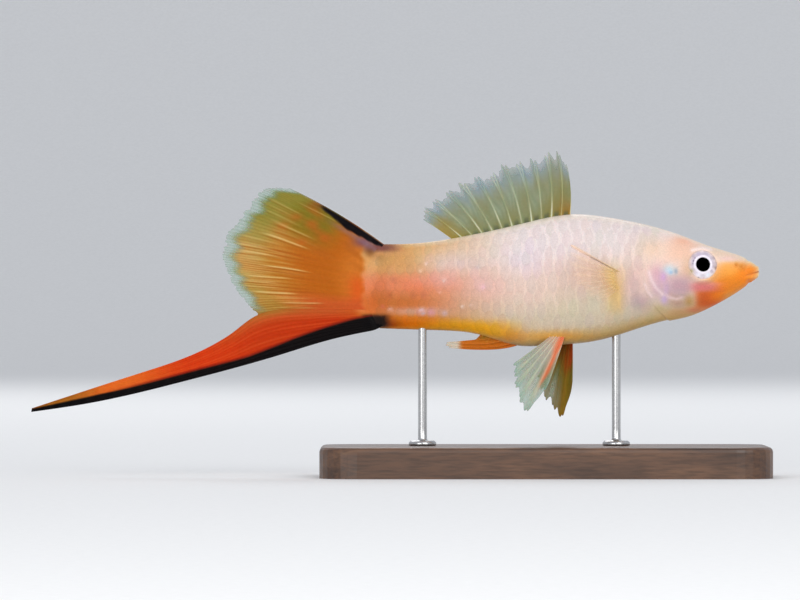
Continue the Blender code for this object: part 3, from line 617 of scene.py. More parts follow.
def scale_plate(radii, sectors):
    """A plate of radius 1 as (along, across) points, and its closed faces over two sides."""
    rings = len(radii)
    around = np.arange(sectors) * 2 * math.pi / sectors
    plate = [(0.0, 0.0)]
    for r in radii:
        plate += [(r * math.cos(a), r * math.sin(a)) for a in around]
    plate = np.array(plate)
    size = len(plate)
    faces = []
    for k in range(sectors):
        after = (k + 1) % sectors
        faces.append((0, 1 + k, 1 + after))
        faces.append((size, size + 1 + after, size + 1 + k))
        for r in range(rings - 1):
            a, b = 1 + r * sectors, 1 + (r + 1) * sectors
            faces.append((a + k, b + k, b + after, a + after))
            faces.append((size + a + k, size + a + after, size + b + after, size + b + k))
        rim = 1 + (rings - 1) * sectors
        faces.append((rim + k, size + rim + k, size + rim + after, rim + after))
    return plate, faces


def build_scales(name, rows, material, draw):
    """Overlapping plates over the skin behind the gill covers, for some of the rows."""
    plate, plate_faces = scale_plate((0.35, 0.7, 0.92, 1.0), 20)
    along, across = plate[:, 0], plate[:, 1]
    points, colours, faces, patches = [], [], [], []
    for row in rows:
        turn = (row + 0.5) / SCALE_ROWS
        for column in range(SCALE_COLUMNS + 1):
            share = (column + 0.4 + 0.5 * (row % 2)) / SCALE_COLUMNS
            share = share + 0.09 * share * (1 - share)
            if share > 0.955:
                continue
            z = np.array(0.0)
            for _ in range(10):
                s = gill_edge(z) + (tail_end(z) - gill_edge(z)) * share
                z = section(s, turns.angle(s, turn))[1]
            spacing = (tail_end(z) - gill_edge(z)) / SCALE_COLUMNS
            size = 1 + draw.uniform(-0.04, 0.04)
            s_all = s + 0.98 * spacing * size * along
            s_all = np.clip(s_all, 1.0, 63.0)
            turn_all = turn + 0.82 * size * across / SCALE_ROWS
            low, high = SCALE_TILT
            rise = low + (high - low) * (along * 0.5 + 0.5) + draw.uniform(-0.004, 0.004)
            rise = rise - 0.012 * np.hypot(along, across) ** 4
            firm = between(SCALE_FIRMNESS, ramp(s, 26, 50))
            rise = rise * firm
            angle = turns.angle(s_all, turn_all)
            top = skin_point(s_all, angle, rise - COAT)
            under = skin_point(s_all, angle, rise - COAT - SCALE_THICKNESS * firm)
            both = np.concatenate([top, under])
            both[:, 1] *= tail_taper(both[:, 0], both[:, 2])
            colour = body_colour(*both.T)
            middle = body_colour(*both[:1].T)
            colour = 0.85 * colour + 0.15 * middle
            colour *= 1 + draw.normal(0, 0.007, 3)
            edge = ramp(np.hypot(along, across), 0.8, 1.0) * ramp(along, 0.0, 0.6)
            colour = colour * (1 - 0.03 * firm * np.tile(edge, 2)[:, None])
            start = sum(len(p) for p in points)
            faces += [tuple(start + i for i in f) for f in plate_faces]
            points.append(both)
            colours.append(colour)
            spot = np.stack((float(s) / 64 + 0.0015 * along, turn + 0.0015 * across), 1)
            patches.append(np.tile(spot, (2, 1)))
    points, patches = np.concatenate(points), np.concatenate(patches)
    obj = new_piece(name, to_world(points), faces, material, (), np.concatenate(colours))
    obj.data.set_sharp_from_angle(angle=math.radians(50))
    layer = obj.data.uv_layers.new(name="OFBake")
    corner = np.empty(len(obj.data.loops), np.int32)
    obj.data.loops.foreach_get("vertex_index", corner)
    layer.data.foreach_set("uv", patches[corner].ravel())
    return obj


def bowed(root, tip, bow, t, at=0.5):
    """Points along rays from root to tip, which bow to one side in the middle plane."""
    across = np.stack((-(tip[..., 2] - root[..., 2]), 0 * tip[..., 0], tip[..., 0] - root[..., 0]), -1)
    bend = root + (tip - root) * at + across * np.asarray(bow)[..., None]
    return through(root, bend, tip, t)


def through(root, bend, tip, t):
    t = t[..., None]
    return (1 - t) ** 2 * root + 2 * t * (1 - t) * bend + t * t * tip


def dorsal_surface(share, t):
    s = between(DORSAL_BASE, share)
    root = np.stack((s, 0 * s, back_height(s) - 0.9), -1)
    return bowed(root, dorsal_tips(share), between(DORSAL_BOW, share), t)


def fan_surface(share, t):
    z = between(FAN_ROOT, share)
    root = np.stack((tail_end(z) - 0.8, 0 * z, z), -1)
    points = bowed(root, fan_tips(share), between(FAN_BOW, share), t)
    points[..., 2] -= 1.15 * ramp(share, 0.72, 1.0) * t**3
    return points


def sword_surface(share, t):
    """The sword starts a little inside the tail's flesh, where its lower edge is drawn in.
    Its upper edge lies against the lowest ray of the fan."""
    t = -0.035 + 1.035 * t
    upper, lower = sword_upper(t), sword_lower(t)
    tuck = ramp(t, 0.03, -0.035)
    lower[..., 2] += 1.0 * tuck
    upper[..., 0] -= 0.6 * tuck
    upper[..., 2] += 0.4 * ramp(t, 0.42, 0.34)
    return upper + (lower - upper) * share[..., None]


def anal_surface(share, t):
    knots = np.linspace(0, 1, len(ANAL_ROOTS))
    root = natural_spline(knots, [(s, 0, z) for s, z in ANAL_ROOTS])(share)
    tip = natural_spline(knots, [(s, 0, z) for s, z in ANAL_TIPS])(share)
    return bowed(root, tip, -ANAL_BOW + 0 * share, t, ANAL_BOW_AT)


def pelvic_surface(pose, side):
    lengths = natural_spline(np.linspace(0, 1, len(PELVIC_LENGTHS)), PELVIC_LENGTHS)

    def surface(share, t):
        sweep = np.radians(between(pose["sweep"], share))
        s = pose["root"] + PELVIC_ROOT_LENGTH * share
        root = skin_point(s, angle_at_height(s, PELVIC_ROOT_Z), -0.9)
        root[..., 1] *= -side
        down = np.stack((np.sin(sweep), 0 * sweep, -np.cos(sweep)), -1)
        out = np.array((0.0, side, 0.0))
        lean = math.radians(pose["lean"])
        length = lengths(share)[..., None]
        tip = root + length * (down * math.cos(lean) + out * math.sin(lean))
        bend = root + length * 0.45 * (down * math.cos(lean * 1.7) + out * math.sin(lean * 1.7))
        return through(root, bend, tip, t)

    return surface


def pectoral_surface(side):
    lengths = natural_spline(np.linspace(0, 1, len(PECTORAL_LENGTHS)), PECTORAL_LENGTHS)
    spread_root, spread_tip = (math.radians(a) for a in PECTORAL_SPREAD)

    def surface(share, t):
        sweep = np.radians(between(PECTORAL_SWEEP, share))
        s = PECTORAL_ROOT[0] + 0 * share
        z = PECTORAL_ROOT[1] - PECTORAL_ROOT_HEIGHT * share
        root = skin_point(s, angle_at_height(s, z), -0.7)
        root[..., 1] *= -side
        along = np.stack((np.cos(sweep), 0 * sweep, np.sin(sweep)), -1)
        out = np.array((0.0, side, 0.0))
        length = lengths(share)[..., None]
        tip = root + length * (along * math.cos(spread_tip) + out * math.sin(spread_tip))
        middle = along * math.cos(spread_root) + out * math.sin(spread_root)
        return through(root, root + length * 0.5 * middle, tip, t)

    return surface


def ray_crest(place, t, width, forks):
    """How near a point is to a ray, 1 on its crest. place counts rays across the fin, and
    each fork, given as (from, to, how wide), splits every branch in two."""
    away = place - np.round(place)
    branches = [0 * t]
    for start, end, wide in forks:
        apart = wide * ramp(t, start, end)
        branches = [b + side * apart for b in branches for side in (-1, 1)]
    return np.max([bump(away - b, width) for b in branches], axis=0)


def flesh_limit(points):
    """How thick half of a tail fin may be: inside the flesh first, then growing out of it."""
    s, z = points[..., 0], points[..., 2]
    last = np.minimum(s, tail_end(z))
    flesh = np.abs(section(last, angle_at_height(last, z))[0]) - COAT
    outside = np.maximum.reduce([s - tail_end(z), z - back_height(s), belly_height(s) - z, 0 * s])
    return 0.85 * np.maximum(flesh, 0) * tail_taper(last, z) + 0.3 * outside + 0.02


def build_fin(name, surface, rays, rows, colour, material, *, per_ray=24, width=(0.2, 0.1),
              forks=(), notch=0.06, peak=0.25, ridge=(0.8, 0.5, 0.12), web=(0.4, 0.14, 0.05),
              wave=0.08, tips=0.0, limit=None, draw=None):
    """A thin closed fin with a ridge along every ray and an edge that dips between the tips."""
    columns = (rays - 1) * per_ray + 1
    share = np.linspace(0, 1, columns)[:, None] + np.zeros((1, rows))
    t = np.zeros((columns, 1)) + np.linspace(0, 1, rows)[None, :]
    place = share * (rays - 1)
    width_here = between(width, t)
    crest = ray_crest(place, t, width_here, forks)
    edge = ray_crest(place, 1 + 0 * t, peak, forks)
    reach = 1 - notch * (1 - edge)
    if tips:
        lengths = draw.uniform(-tips, 0, rays)
        reach = reach + np.interp(place, np.arange(rays), lengths)
        ragged = natural_spline(np.linspace(0, rays - 1, rays * 5), draw.normal(0, tips * 0.35, rays * 5))
        reach = np.minimum(reach + ragged(place), 1.0)
    points = surface(share, t * reach)
    phase = draw.uniform(0, 6.28) if draw is not None else 0.0
    folds = np.sin(place * 2.1 + phase) * 0.6 + np.sin(share * 7 + t * 3 + phase) * 0.4
    normal = np.cross(np.gradient(points, axis=0), np.gradient(points, axis=1))
    normal /= np.maximum(np.linalg.norm(normal, axis=2, keepdims=True), 1e-9)
    points = points + normal * (wave * folds * ramp(t, 0.05, 0.6))[..., None]
    stops = (0, 0.25, 1)
    thick = np.interp(t, stops, web) * (1 - crest) + np.interp(t, stops, ridge) * crest
    joints = 1 + 0.12 * np.sin(t * rows * 0.9) * crest * ramp(t, 0.2, 0.35)
    border = np.minimum(np.minimum(share, 1 - share) * columns / 2.0, (1 - t) * rows / 2.0)
    half = 0.5 * thick * joints * np.sqrt(np.clip(border + 0.15, 0.15, 1))
    if limit:
        half = np.minimum(half, limit(points))
    paint, opacity = colour(share, t, crest, points)
    front = points + normal * half[..., None]
    rear = points - normal * half[..., None]
    index = np.arange(columns * rows).reshape(columns, rows)
    a, b, c, d = index[:-1, :-1], index[1:, :-1], index[1:, 1:], index[:-1, 1:]
    quads = np.stack((a, b, c, d), -1).reshape(-1, 4)
    count = columns * rows
    ring = np.concatenate([index[:, 0], index[-1, 1:], index[-2::-1, -1], index[0, -2:0:-1]])
    after = np.roll(ring, -1)
    side = np.stack((ring, ring + count, after + count, after), 1)
    faces = quads.tolist() + (quads[:, ::-1] + count).tolist() + side.tolist()
    flat = to_world(np.concatenate([front.reshape(-1, 3), rear.reshape(-1, 3)]))
    both = np.concatenate([paint.reshape(-1, 3)] * 2)
    see = np.concatenate([opacity.reshape(-1)] * 2)
    return new_piece(name, flat, faces, material, (name,), both, see)


def plain(colour, like):
    return np.array(colour, float) + 0 * like[..., None]


def dorsal_colour(share, t, crest, points):
    patchy = 0.5 + 0.5 * np.sin(share * 34 + t * 4) * np.sin(share * 13 - t * 7)
    place = share * (DORSAL_RAYS - 1)
    gap = ramp(np.abs(place - np.round(place)), 0.12, 0.4)
    colour = mix(plain((134, 140, 98), share), (132, 148, 120), ramp(t, 0.15, 0.5))
    colour = mix(colour, (134, 128, 74), 0.55 * patchy * ramp(t, 0.9, 0.6))
    fine = 0.5 + 0.5 * np.sin(share * 190 + 3 * np.sin(t * 8 + share * 21))
    colour = mix(colour, (182, 188, 160), 0.3 * fine * (1 - patchy) * ramp(t, 0.2, 0.4))
    colour = mix(colour, (130, 126, 66), 0.6 * ramp(share, 0.3, 0.1))
    colour = mix(colour, (120, 146, 160), ramp(t, 0.6, 0.9) * between((0.85, 0.3), patchy))
    colour = mix(colour, (160, 112, 34), 0.8 * bump(share, 0.14) * ramp(t, 0.5, 0.1))
    colour = mix(colour, (160, 132, 46), 0.8 * ramp(share, 0.78, 1.0) * ramp(t, 0.95, 0.5))
    colour = mix(colour, (84, 90, 68), 0.75 * gap * ramp(t, 0.2, 0.1) * ramp(share, 0.95, 0.75))
    pale = between((0.95, 0.4), ramp(t, 0.15, 0.5)) + 0.25 * ramp(t, 0.7, 0.95)
    pale = pale * (0.7 + 0.3 * np.sin(share * 41 + t * 7))
    colour = mix(colour, (222, 224, 198), pale * crest)
    opacity = 0.8 - 0.2 * ramp(t, 0.4, 0.8) - 0.32 * ramp(t, 0.8, 1.0) + 0.15 * ramp(t, 0.25, 0.1)
    return colour, np.clip(opacity + 0.25 * crest, 0, 1)


def fan_colour(share, t, crest, points):
    s, z = points[..., 0], points[..., 2]
    patchy = 0.5 + 0.5 * np.sin(share * 31 + t * 9) * np.sin(share * 17 - t * 11)
    colour = mix(plain((200, 112, 36), share), (180, 94, 18), ramp(t, 0.1, 0.3))
    colour = mix(colour, (176, 112, 32), ramp(t, 0.45, 0.7))
    colour = mix(colour, (166, 136, 58), ramp(t, 0.66, 0.86))
    colour = mix(colour, (194, 170, 110), 0.8 * ramp(t, 0.64, 0.88) * bump(share - 0.56, 0.2))
    colour = mix(colour, (180, 100, 26), 0.6 * patchy * ramp(t, 0.35, 0.55) * ramp(share, 0.2, 0.4))
    upper = ramp(share, 0.46, 0.2) * ramp(t, 0.25, 0.5)
    colour = mix(colour, (114, 108, 26), 0.92 * upper)
    colour = mix(colour, (136, 132, 58), 0.6 * ramp(share, 0.55, 0.35) * ramp(t, 0.62, 0.82))
    mottled = (0.5 + 0.5 * np.sin(share * 47 + t * 5)) * (0.5 + 0.5 * np.sin(t * 21 + share * 16))
    colour = mix(colour, (172, 90, 24), 0.6 * mottled * ramp(share, 0.6, 0.3) * ramp(t, 0.9, 0.6))
    for s0, z0 in ((71.5, 7.6), (74.2, 8.6), (69.6, 5.2), (76.3, 7.2), (73.4, 4.6), (70.9, 10.6)):
        colour = mix(colour, (190, 86, 24), 0.5 * bump(np.hypot(s - s0, (z - z0) * 1.5), 1.1))
    colour = mix(colour, (216, 82, 24), 0.7 * bump(s - 64.4, 1.5) * ramp(z, 0.5, -2.5))
    colour = mix(colour, (196, 84, 38), 0.85 * ramp(share, 0.76, 0.95) * ramp(t, 0.85, 0.45))
    colour = mix(colour, (158, 118, 42), 0.8 * ramp(share, 0.8, 0.95) * ramp(t, 0.65, 0.85))
    streak = crest * ramp(t, 0.4, 0.75) * between((0.15, 1.0), patchy) * (1 - 0.75 * upper)
    colour = mix(colour, (206, 178, 112), 0.5 * streak)
    lane = share * 23 + 0.3 * np.sin(t * 5 + share * 9)
    number = np.round(lane)
    start = 0.5 + 0.14 * np.sin(number * 5.3)
    length = ramp(t, start, start + 0.14) * ramp(t, start + 0.42, start + 0.28)
    length = length * (0.6 + 0.4 * np.sin(number * 3.7)) * (1 - 0.6 * upper)
    # Pale streaks along the lanes, each with a painted shadow line just below it.
    colour = mix(colour, (222, 196, 132), 0.8 * bump(lane - number, 0.16) * length)
    colour = mix(colour, (140, 78, 18), 0.5 * bump(lane - number - 0.34, 0.12) * length)
    dark = (1 - crest) * bump(t - 0.66, 0.24) * ramp(share, 0.25, 0.5)
    colour = mix(colour, (140, 66, 14), 0.5 * dark * (0.5 + 0.5 * np.sin(share * 39 + t * 3)))
    margin = ramp(t + 0.015 * np.sin(share * 53), 0.87, 0.98) * ramp(share, 1.0, 0.9)
    colour = mix(colour, (118, 168, 142), 0.9 * margin)
    flesh = ramp(s + 0.2 * np.sin(z * 1.7) + 0.1 * np.sin(z * 3.9 + 1), 64.0, 63.0)
    colour = colour + (body_colour(s, 0 * s, z) - colour) * flesh[..., None]
    root = bump(np.hypot((s - 63.4) / 1.8, (z - 4.6) / 0.9), 1.0)
    colour = mix(colour, (112, 70, 88), 0.85 * root)
    under = bump(share - 0.12, 0.035) * ramp(t, 0.55, 0.3)
    colour = mix(colour, (132, 104, 116), 0.5 * under)
    wide = np.interp(t, (0, 0.06, 0.2, 0.4, 0.55, 0.68), (0.02, 0.05, 0.08, 0.068, 0.035, 0.0))
    wide = wide * (1 + 0.1 * np.sin(t * 23 + 0.6) + 0.05 * np.sin(t * 61 + share * 80))
    colour = mix(colour, (84, 54, 22), 0.6 * bump(np.hypot((t - 0.64) / 0.08, share / 0.07), 1.0))
    centre = 0.012 + wide / 2
    stripe = ramp(np.abs(share - centre), wide / 2 + 0.018, wide / 2 - 0.012) * ramp(t, 0.7, 0.6)
    colour = mix(colour, (6, 2, 8), 0.98 * stripe)
    opacity = 1 - 0.08 * ramp(t, 0.5, 0.85) - 0.4 * ramp(share, 0.03, 0.0)
    opacity = opacity * (1 - margin) + (0.16 + 0.1 * crest) * margin
    return colour, np.clip(opacity + 0.1 * crest * (1 - margin) + stripe, 0, 1)


def sword_colour(share, t, crest, points):
    s, z = points[..., 0], points[..., 2]
    t = -0.035 + 1.035 * t
    deep = np.linalg.norm(sword_upper(t) - sword_lower(t), axis=-1)
    above_edge = (1 - share) * deep
    colour = mix(plain((186, 50, 6), share), (204, 54, 8), ramp(t, 0.3, 0.5))
    colour = mix(colour, (218, 102, 30), ramp(t, 0.52, 0.74))
    colour = mix(colour, (160, 98, 24), ramp(t, 0.76, 0.9))
    colour = mix(colour, (188, 84, 34), 0.95 * ramp(share, 0.4, 0.05) * ramp(t, 0.52, 0.3))
    colour = mix(colour, (166, 108, 40), 0.9 * ramp(share, 0.2, 0.02) * bump(t - 0.29, 0.07))
    colour = mix(colour, (192, 82, 20), 0.8 * ramp(t, 0.12, 0.02))
    colour = mix(colour, (216, 90, 44), 0.4 * crest * (0.5 + 0.5 * np.sin(share * 25 + t * 14)))
    flesh = ramp(s + 0.3 * np.sin(z * 2.3), 65.2, 63.2)
    colour = colour + (body_colour(s, 0 * s, z) - colour) * flesh[..., None]
    black = np.interp(t, (-0.035, 0.05, 0.12, 0.24, 0.37, 0.51, 0.8, 0.88, 1),
                      (2.0, 2.2, 1.95, 1.7, 1.1, 1.2, 1.15, 0.95, 0.5))
    line = ramp(above_edge, black + 0.2, black - 0.2)
    colour = mix(colour, (110, 16, 10), 0.6 * bump(above_edge - black - 0.15, 0.2) * ramp(t, 0.85, 0.6))
    colour = mix(colour, (4, 2, 4), 0.98 * line)
    rim = ramp(above_edge, 0.14, 0.04) * (0.5 + 0.5 * np.sin(t * 57) * np.sin(t * 23))
    colour = mix(colour, (140, 150, 138), 0.45 * rim)
    return colour, 0.98 + 0.02 * line


def anal_colour(share, t, crest, points):
    s = points[..., 0]
    colour = mix(plain((192, 104, 22), share), (214, 124, 58), 0.5 * crest)
    colour = mix(colour, (208, 112, 42), 0.8 * ramp(s, 42, 39))
    colour = mix(colour, (136, 116, 36), 0.6 * bump(share - 0.75, 0.2) * ramp(s, 46, 44))
    clear = ramp(s, 47.4, 48.6)
    colour = mix(colour, (226, 220, 200), 0.85 * clear)
    return colour, 0.95 - 0.5 * clear + 0.2 * crest * clear


def near_pelvic_colour(share, t, crest, points):
    colour = mix(plain((210, 166, 140), share), (184, 172, 154), ramp(t, 0.1, 0.35))
    streaks = 0.5 + 0.5 * np.sin(share * 37 + t * 6)
    colour = mix(colour, (142, 158, 126), ramp(t, 0.35, 0.7) * between((0.6, 1.0), streaks))
    colour = mix(colour, (214, 216, 190), 0.6 * crest)
    coral = bump(share - 0.14, between((0.22, 0.08), ramp(t, 0.15, 0.4))) * ramp(t, 0.8, 0.6)
    colour = mix(colour, (226, 110, 68), 0.85 * coral)
    colour = mix(colour, (146, 182, 166), 0.7 * ramp(t, 0.78, 1.0))
    opacity = 0.86 - 0.4 * ramp(t, 0.15, 0.7) + 0.25 * crest + 0.4 * coral
    return colour, np.clip(opacity, 0, 1)


def far_pelvic_colour(share, t, crest, points):
    colour = mix(plain((128, 76, 20), share), (120, 116, 46), ramp(t, 0.3, 0.6))
    colour = mix(colour, (124, 142, 90), 0.9 * ramp(t, 0.45, 0.9) * ramp(share, 0.2, 0.5))
    colour = mix(colour, (142, 112, 24), 0.8 * bump(share - 0.2, 0.14))
    colour = mix(colour, (172, 74, 24), 0.9 * ramp(share, 0.42, 0.2) * ramp(t, 0.62, 0.4))
    colour = mix(colour, (196, 74, 34), 0.8 * ramp(share, 0.14, 0.05) * ramp(t, 0.7, 0.5))
    colour = mix(colour, (160, 118, 52), 0.45 * crest)
    opacity = 0.97 - 0.4 * ramp(t, 0.35, 0.9) * ramp(share, 0.1, 0.5) + 0.1 * crest
    return colour, np.clip(opacity, 0, 1)


def pectoral_colour(share, t, crest, points):
    colour = mix(plain((240, 206, 130), share), (240, 200, 172), ramp(t, 0.15, 0.55))
    colour = mix(colour, (136, 112, 96), 0.8 * bump(share - 0.04, 0.018) * ramp(t, 0.8, 0.6) * ramp(t, 0, 0.3))
    colour = mix(colour, (244, 222, 214), 0.8 * ramp(share, 0.03, 0.0) * ramp(t, 0.4, 0.7))
    colour = mix(colour, (244, 220, 186), 0.4 * crest * ramp(t, 0.1, 0.3))
    fill = ramp(share, 0.75, 0.35)
    opacity = 0.5 - 0.3 * ramp(t, 0.15, 0.6) - 0.12 * (1 - fill) + 0.1 * crest
    opacity = opacity * ramp(t, 1.0, 0.75) * ramp(t, 0.05, 0.3)
    opacity = opacity + 0.5 * ramp(share, 0.06, 0.02)
    return colour, np.clip(opacity, 0, 1)


def turned(profile, sectors):
    """Points and faces of a closed shape turned round Z from (radius, height) pairs, whose
    first and last pairs are on the axis."""
    around = np.arange(sectors) * 2 * math.pi / sectors
    points = [(0.0, 0.0, profile[0][1])]
    for radius, height in profile[1:-1]:
        points += [(radius * math.cos(a), radius * math.sin(a), height) for a in around]
    points.append((0.0, 0.0, profile[-1][1]))
    rings = len(profile) - 2
    faces = [[1 + i for i in f] for f in ring_faces(rings, sectors)]
    last, end = 1 + (rings - 1) * sectors, len(points) - 1
    for k in range(sectors):
        after = (k + 1) % sectors
        faces += [[0, 1 + after, 1 + k], [last + k, last + after, end]]
    return np.array(points), faces


def build_eye(side, iris_material, cornea_material):
    """The eyeball with its pupil and iris, and the clear cornea over them."""
    name = "eye_right" if side < 0 else "eye_left"
    frame = eye_frame(side)
    radii = np.concatenate([np.linspace(0.02, 1.13, 12), np.linspace(1.17, 1.56, 8),
                            np.linspace(1.62, 2.36, 16)])
    lens = 0.28 + 0.16 * np.sqrt(np.maximum(1 - (radii / 1.15) ** 2, 0))
    iris = 0.22 - 0.24 * ((radii - 1.15) / 1.21).clip(0, 1) ** 1.2 + 0.03 * bump(radii - 1.35, 0.12)
    profile = list(zip(radii, np.where(radii < 1.15, lens, iris)))
    back = np.linspace(0, math.pi / 2, 12)[1:-1]
    profile += [(2.38 * math.cos(a), -(EYE_DEPTH - 0.1) * math.sin(a)) for a in back]
    profile = [(0, 0.44)] + profile + [(0, -(EYE_DEPTH - 0.1))]
    points, faces = turned(profile, 72)
    away = np.hypot(points[:, 0], points[:, 1])
    angle = np.arctan2(points[:, 1], points[:, 0])
    draw = np.random.default_rng(SEED + 5)
    streaks = sum(draw.uniform(0.3, 1) * np.sin(k * angle + draw.uniform(0, 6)) for k in range(5, 17))
    colour = mix(plain((192, 178, 190), away), (224, 212, 216), 0.5 + 0.14 * streaks)
    colour = mix(colour, (228, 204, 190), 0.9 * ramp(away, 1.85, 2.25))
    colour = mix(colour, (176, 156, 156), 0.45 * bump(away - 2.27, 0.08))
    # In the eye's own frame +Y is up and -X is towards the tail on the right side.
    for angle0, away0, size, tint in (
        (-2.0, 1.75, 0.5, (240, 238, 246)), (-1.15, 1.8, 0.55, (234, 240, 246)),
        (-1.6, 2.05, 0.4, (206, 200, 206)), (-2.65, 2.2, 0.38, (174, 158, 108)),
        (-1.9, 2.28, 0.13, (96, 74, 78)), (-1.55, 2.2, 0.15, (226, 176, 180)),
        (1.95, 1.8, 0.45, (182, 168, 190)), (1.2, 1.8, 0.45, (186, 174, 190)),
        (1.57, 2.25, 0.3, (226, 212, 216)), (0.5, 2.2, 0.3, (156, 142, 146)),
        (0.0, 2.0, 0.4, (190, 176, 182)), (-0.25, 2.25, 0.3, (128, 102, 84)),
        (0.15, 2.32, 0.2, (150, 126, 116)), (2.45, 1.62, 0.13, (120, 102, 132)),
        (2.78, 1.6, 0.15, (84, 66, 98)), (3.05, 1.62, 0.12, (116, 98, 124)),
        (3.1, 2.2, 0.3, (212, 186, 170)), (2.4, 2.1, 0.34, (180, 162, 174)),
    ):
        flip = angle0 if side < 0 else math.pi - angle0
        spot = np.hypot(points[:, 0] - away0 * math.cos(flip), points[:, 1] - away0 * math.sin(flip))
        colour = mix(colour, tint, 0.8 * bump(spot, size))
    colour = mix(colour, (236, 229, 236), ramp(away, 1.62, 1.45))
    colour = mix(colour, (1, 0, 1), ramp(away, 1.18, 1.13))
    colour[points[:, 2] < 0] = (214, 186, 180)
    place = np.array(frame)
    world = points @ place[:3, :3].T + place[:3, 3]
    new_piece(name + "_ball", world, faces, iris_material, (name,), colour)

    reach, rise = EYE_RADIUS - 0.03, CORNEA_RISE - 0.03
    outer = [(reach * r, rise * (1 - r * r)) for r in np.linspace(0, 1, 20)[1:]]
    inner = [(r * 0.985, h * 0.93 - 0.02) for r, h in reversed(outer)]
    profile = [(0, rise)] + outer + inner + [(0, rise * 0.93 - 0.02)]
    points, faces = turned(profile, 72)
    world = points @ place[:3, :3].T + place[:3, 3]
    new_piece(name + "_cornea", world, faces, cornea_material)


def build_rod(name, s, material):
    """A turned rod with a round foot. Its top ends inside the skin."""
    foot = BASE_HEIGHT + 0.02
    top = SNOUT_Z + float(belly_height(s)) + 0.8
    rise = ROD_FOOT_HEIGHT
    profile = [(0, foot), (ROD_FOOT_RADIUS - 0.12, foot), (ROD_FOOT_RADIUS, foot + 0.12)]
    profile += [(ROD_FOOT_RADIUS, foot + rise - 0.3), (ROD_FOOT_RADIUS - 0.3, foot + rise)]
    profile += [(ROD_RADIUS + 0.35, foot + rise), (ROD_RADIUS + 0.1, foot + rise + 0.12)]
    profile += [(ROD_RADIUS, foot + rise + 0.4)]
    profile += [(ROD_RADIUS, h) for h in np.linspace(foot + rise + 2, top, 8)] + [(0, top)]
    points, faces = turned(profile, 48)
    rod = new_piece(name, points + (SNOUT_X - s, 0, 0), faces, material, (name,))
    rod.data.set_sharp_from_angle(angle=math.radians(50))


def add(tree, kind, inputs=None, **settings):
    """A node whose inputs are values or the sockets that feed them."""
    node = tree.nodes.new(kind)
    for key, value in settings.items():
        setattr(node, key, value)
    for key, value in (inputs or {}).items():
        if isinstance(value, bpy.types.NodeSocket):
            tree.links.new(value, node.inputs[key])
        else:
            node.inputs[key].default_value = value
    return node


def new_material(name, **constants):
    """A material with a principled shader whose constants are set on its own sockets."""
    material = bpy.data.materials.new(name)
    material.use_nodes = True
    shader = material.node_tree.nodes["Principled BSDF"]
    for key, value in constants.items():
        shader.inputs[key.replace("_", " ").title().replace("Ior", "IOR")].default_value = value
    return material, material.node_tree, shader


def noise(tree, scale, detail=3.0, roughness=0.55):
    """Noise over the part's own metres."""
    place = add(tree, "ShaderNodeTexCoord")
    return add(tree, "ShaderNodeTexNoise", {
        "Vector": place.outputs["Object"], "Scale": scale, "Detail": detail, "Roughness": roughness,
    })


def blend(tree, share, first, second, blend_type="MIX"):
    node = add(tree, "ShaderNodeMix", {0: share, 6: first, 7: second}, data_type="RGBA",
               blend_type=blend_type)
    return node.outputs[2]


def spread(tree, value, low, high, start=0.0, end=1.0):
    """Maps start..end onto low..high."""
    node = add(tree, "ShaderNodeMapRange", {
        "Value": value, "From Min": start, "From Max": end, "To Min": low, "To Max": high,
    })
    return node.outputs["Result"]


def painted(tree):
    return add(tree, "ShaderNodeVertexColor", layer_name="paint").outputs


def skin_material(name, gloss):
    """Skin or scales: the painted markings with fine speckles and a pearly gloss."""
    material, tree, shader = new_material(
        name, subsurface_weight=0.12, subsurface_scale=0.001, coat_weight=gloss,
        coat_roughness=0.15, specular_ior_level=0.1,
    )
    shader.inputs["Subsurface Radius"].default_value = (1.0, 0.5, 0.35)
    colour = painted(tree)["Color"]
    broad = noise(tree, 420.0, 4.0)
    tinted = add(tree, "ShaderNodeValToRGB", {"Fac": broad.outputs["Fac"]})
    ends = tinted.color_ramp.elements
    ends[0].position, ends[0].color = 0.3, (0.46, 0.5, 0.5, 1)
    ends[1].position, ends[1].color = 0.7, (0.55, 0.5, 0.5, 1)
    colour = blend(tree, 0.8, colour, tinted.outputs["Color"], "OVERLAY")
    speckle = noise(tree, 5200.0, 2.0)
    dots = spread(tree, speckle.outputs["Fac"], 0.9, 1.06, 0.3, 0.7)
    grey = add(tree, "ShaderNodeCombineColor", {"Red": dots, "Green": dots, "Blue": dots})
    colour = blend(tree, 1.0, colour, grey.outputs["Color"], "MULTIPLY")
    tree.links.new(colour, shader.inputs["Base Color"])
    tree.links.new(spread(tree, broad.outputs["Fac"], 0.3, 0.46, 0.3, 0.7), shader.inputs["Roughness"])
    grain = noise(tree, 3800.0, 3.0)
    relief = add(tree, "ShaderNodeBump", {
        "Height": grain.outputs["Fac"], "Strength": 0.2, "Distance": 0.00005,
    })
    tree.links.new(relief.outputs["Normal"], shader.inputs["Normal"])
    return material


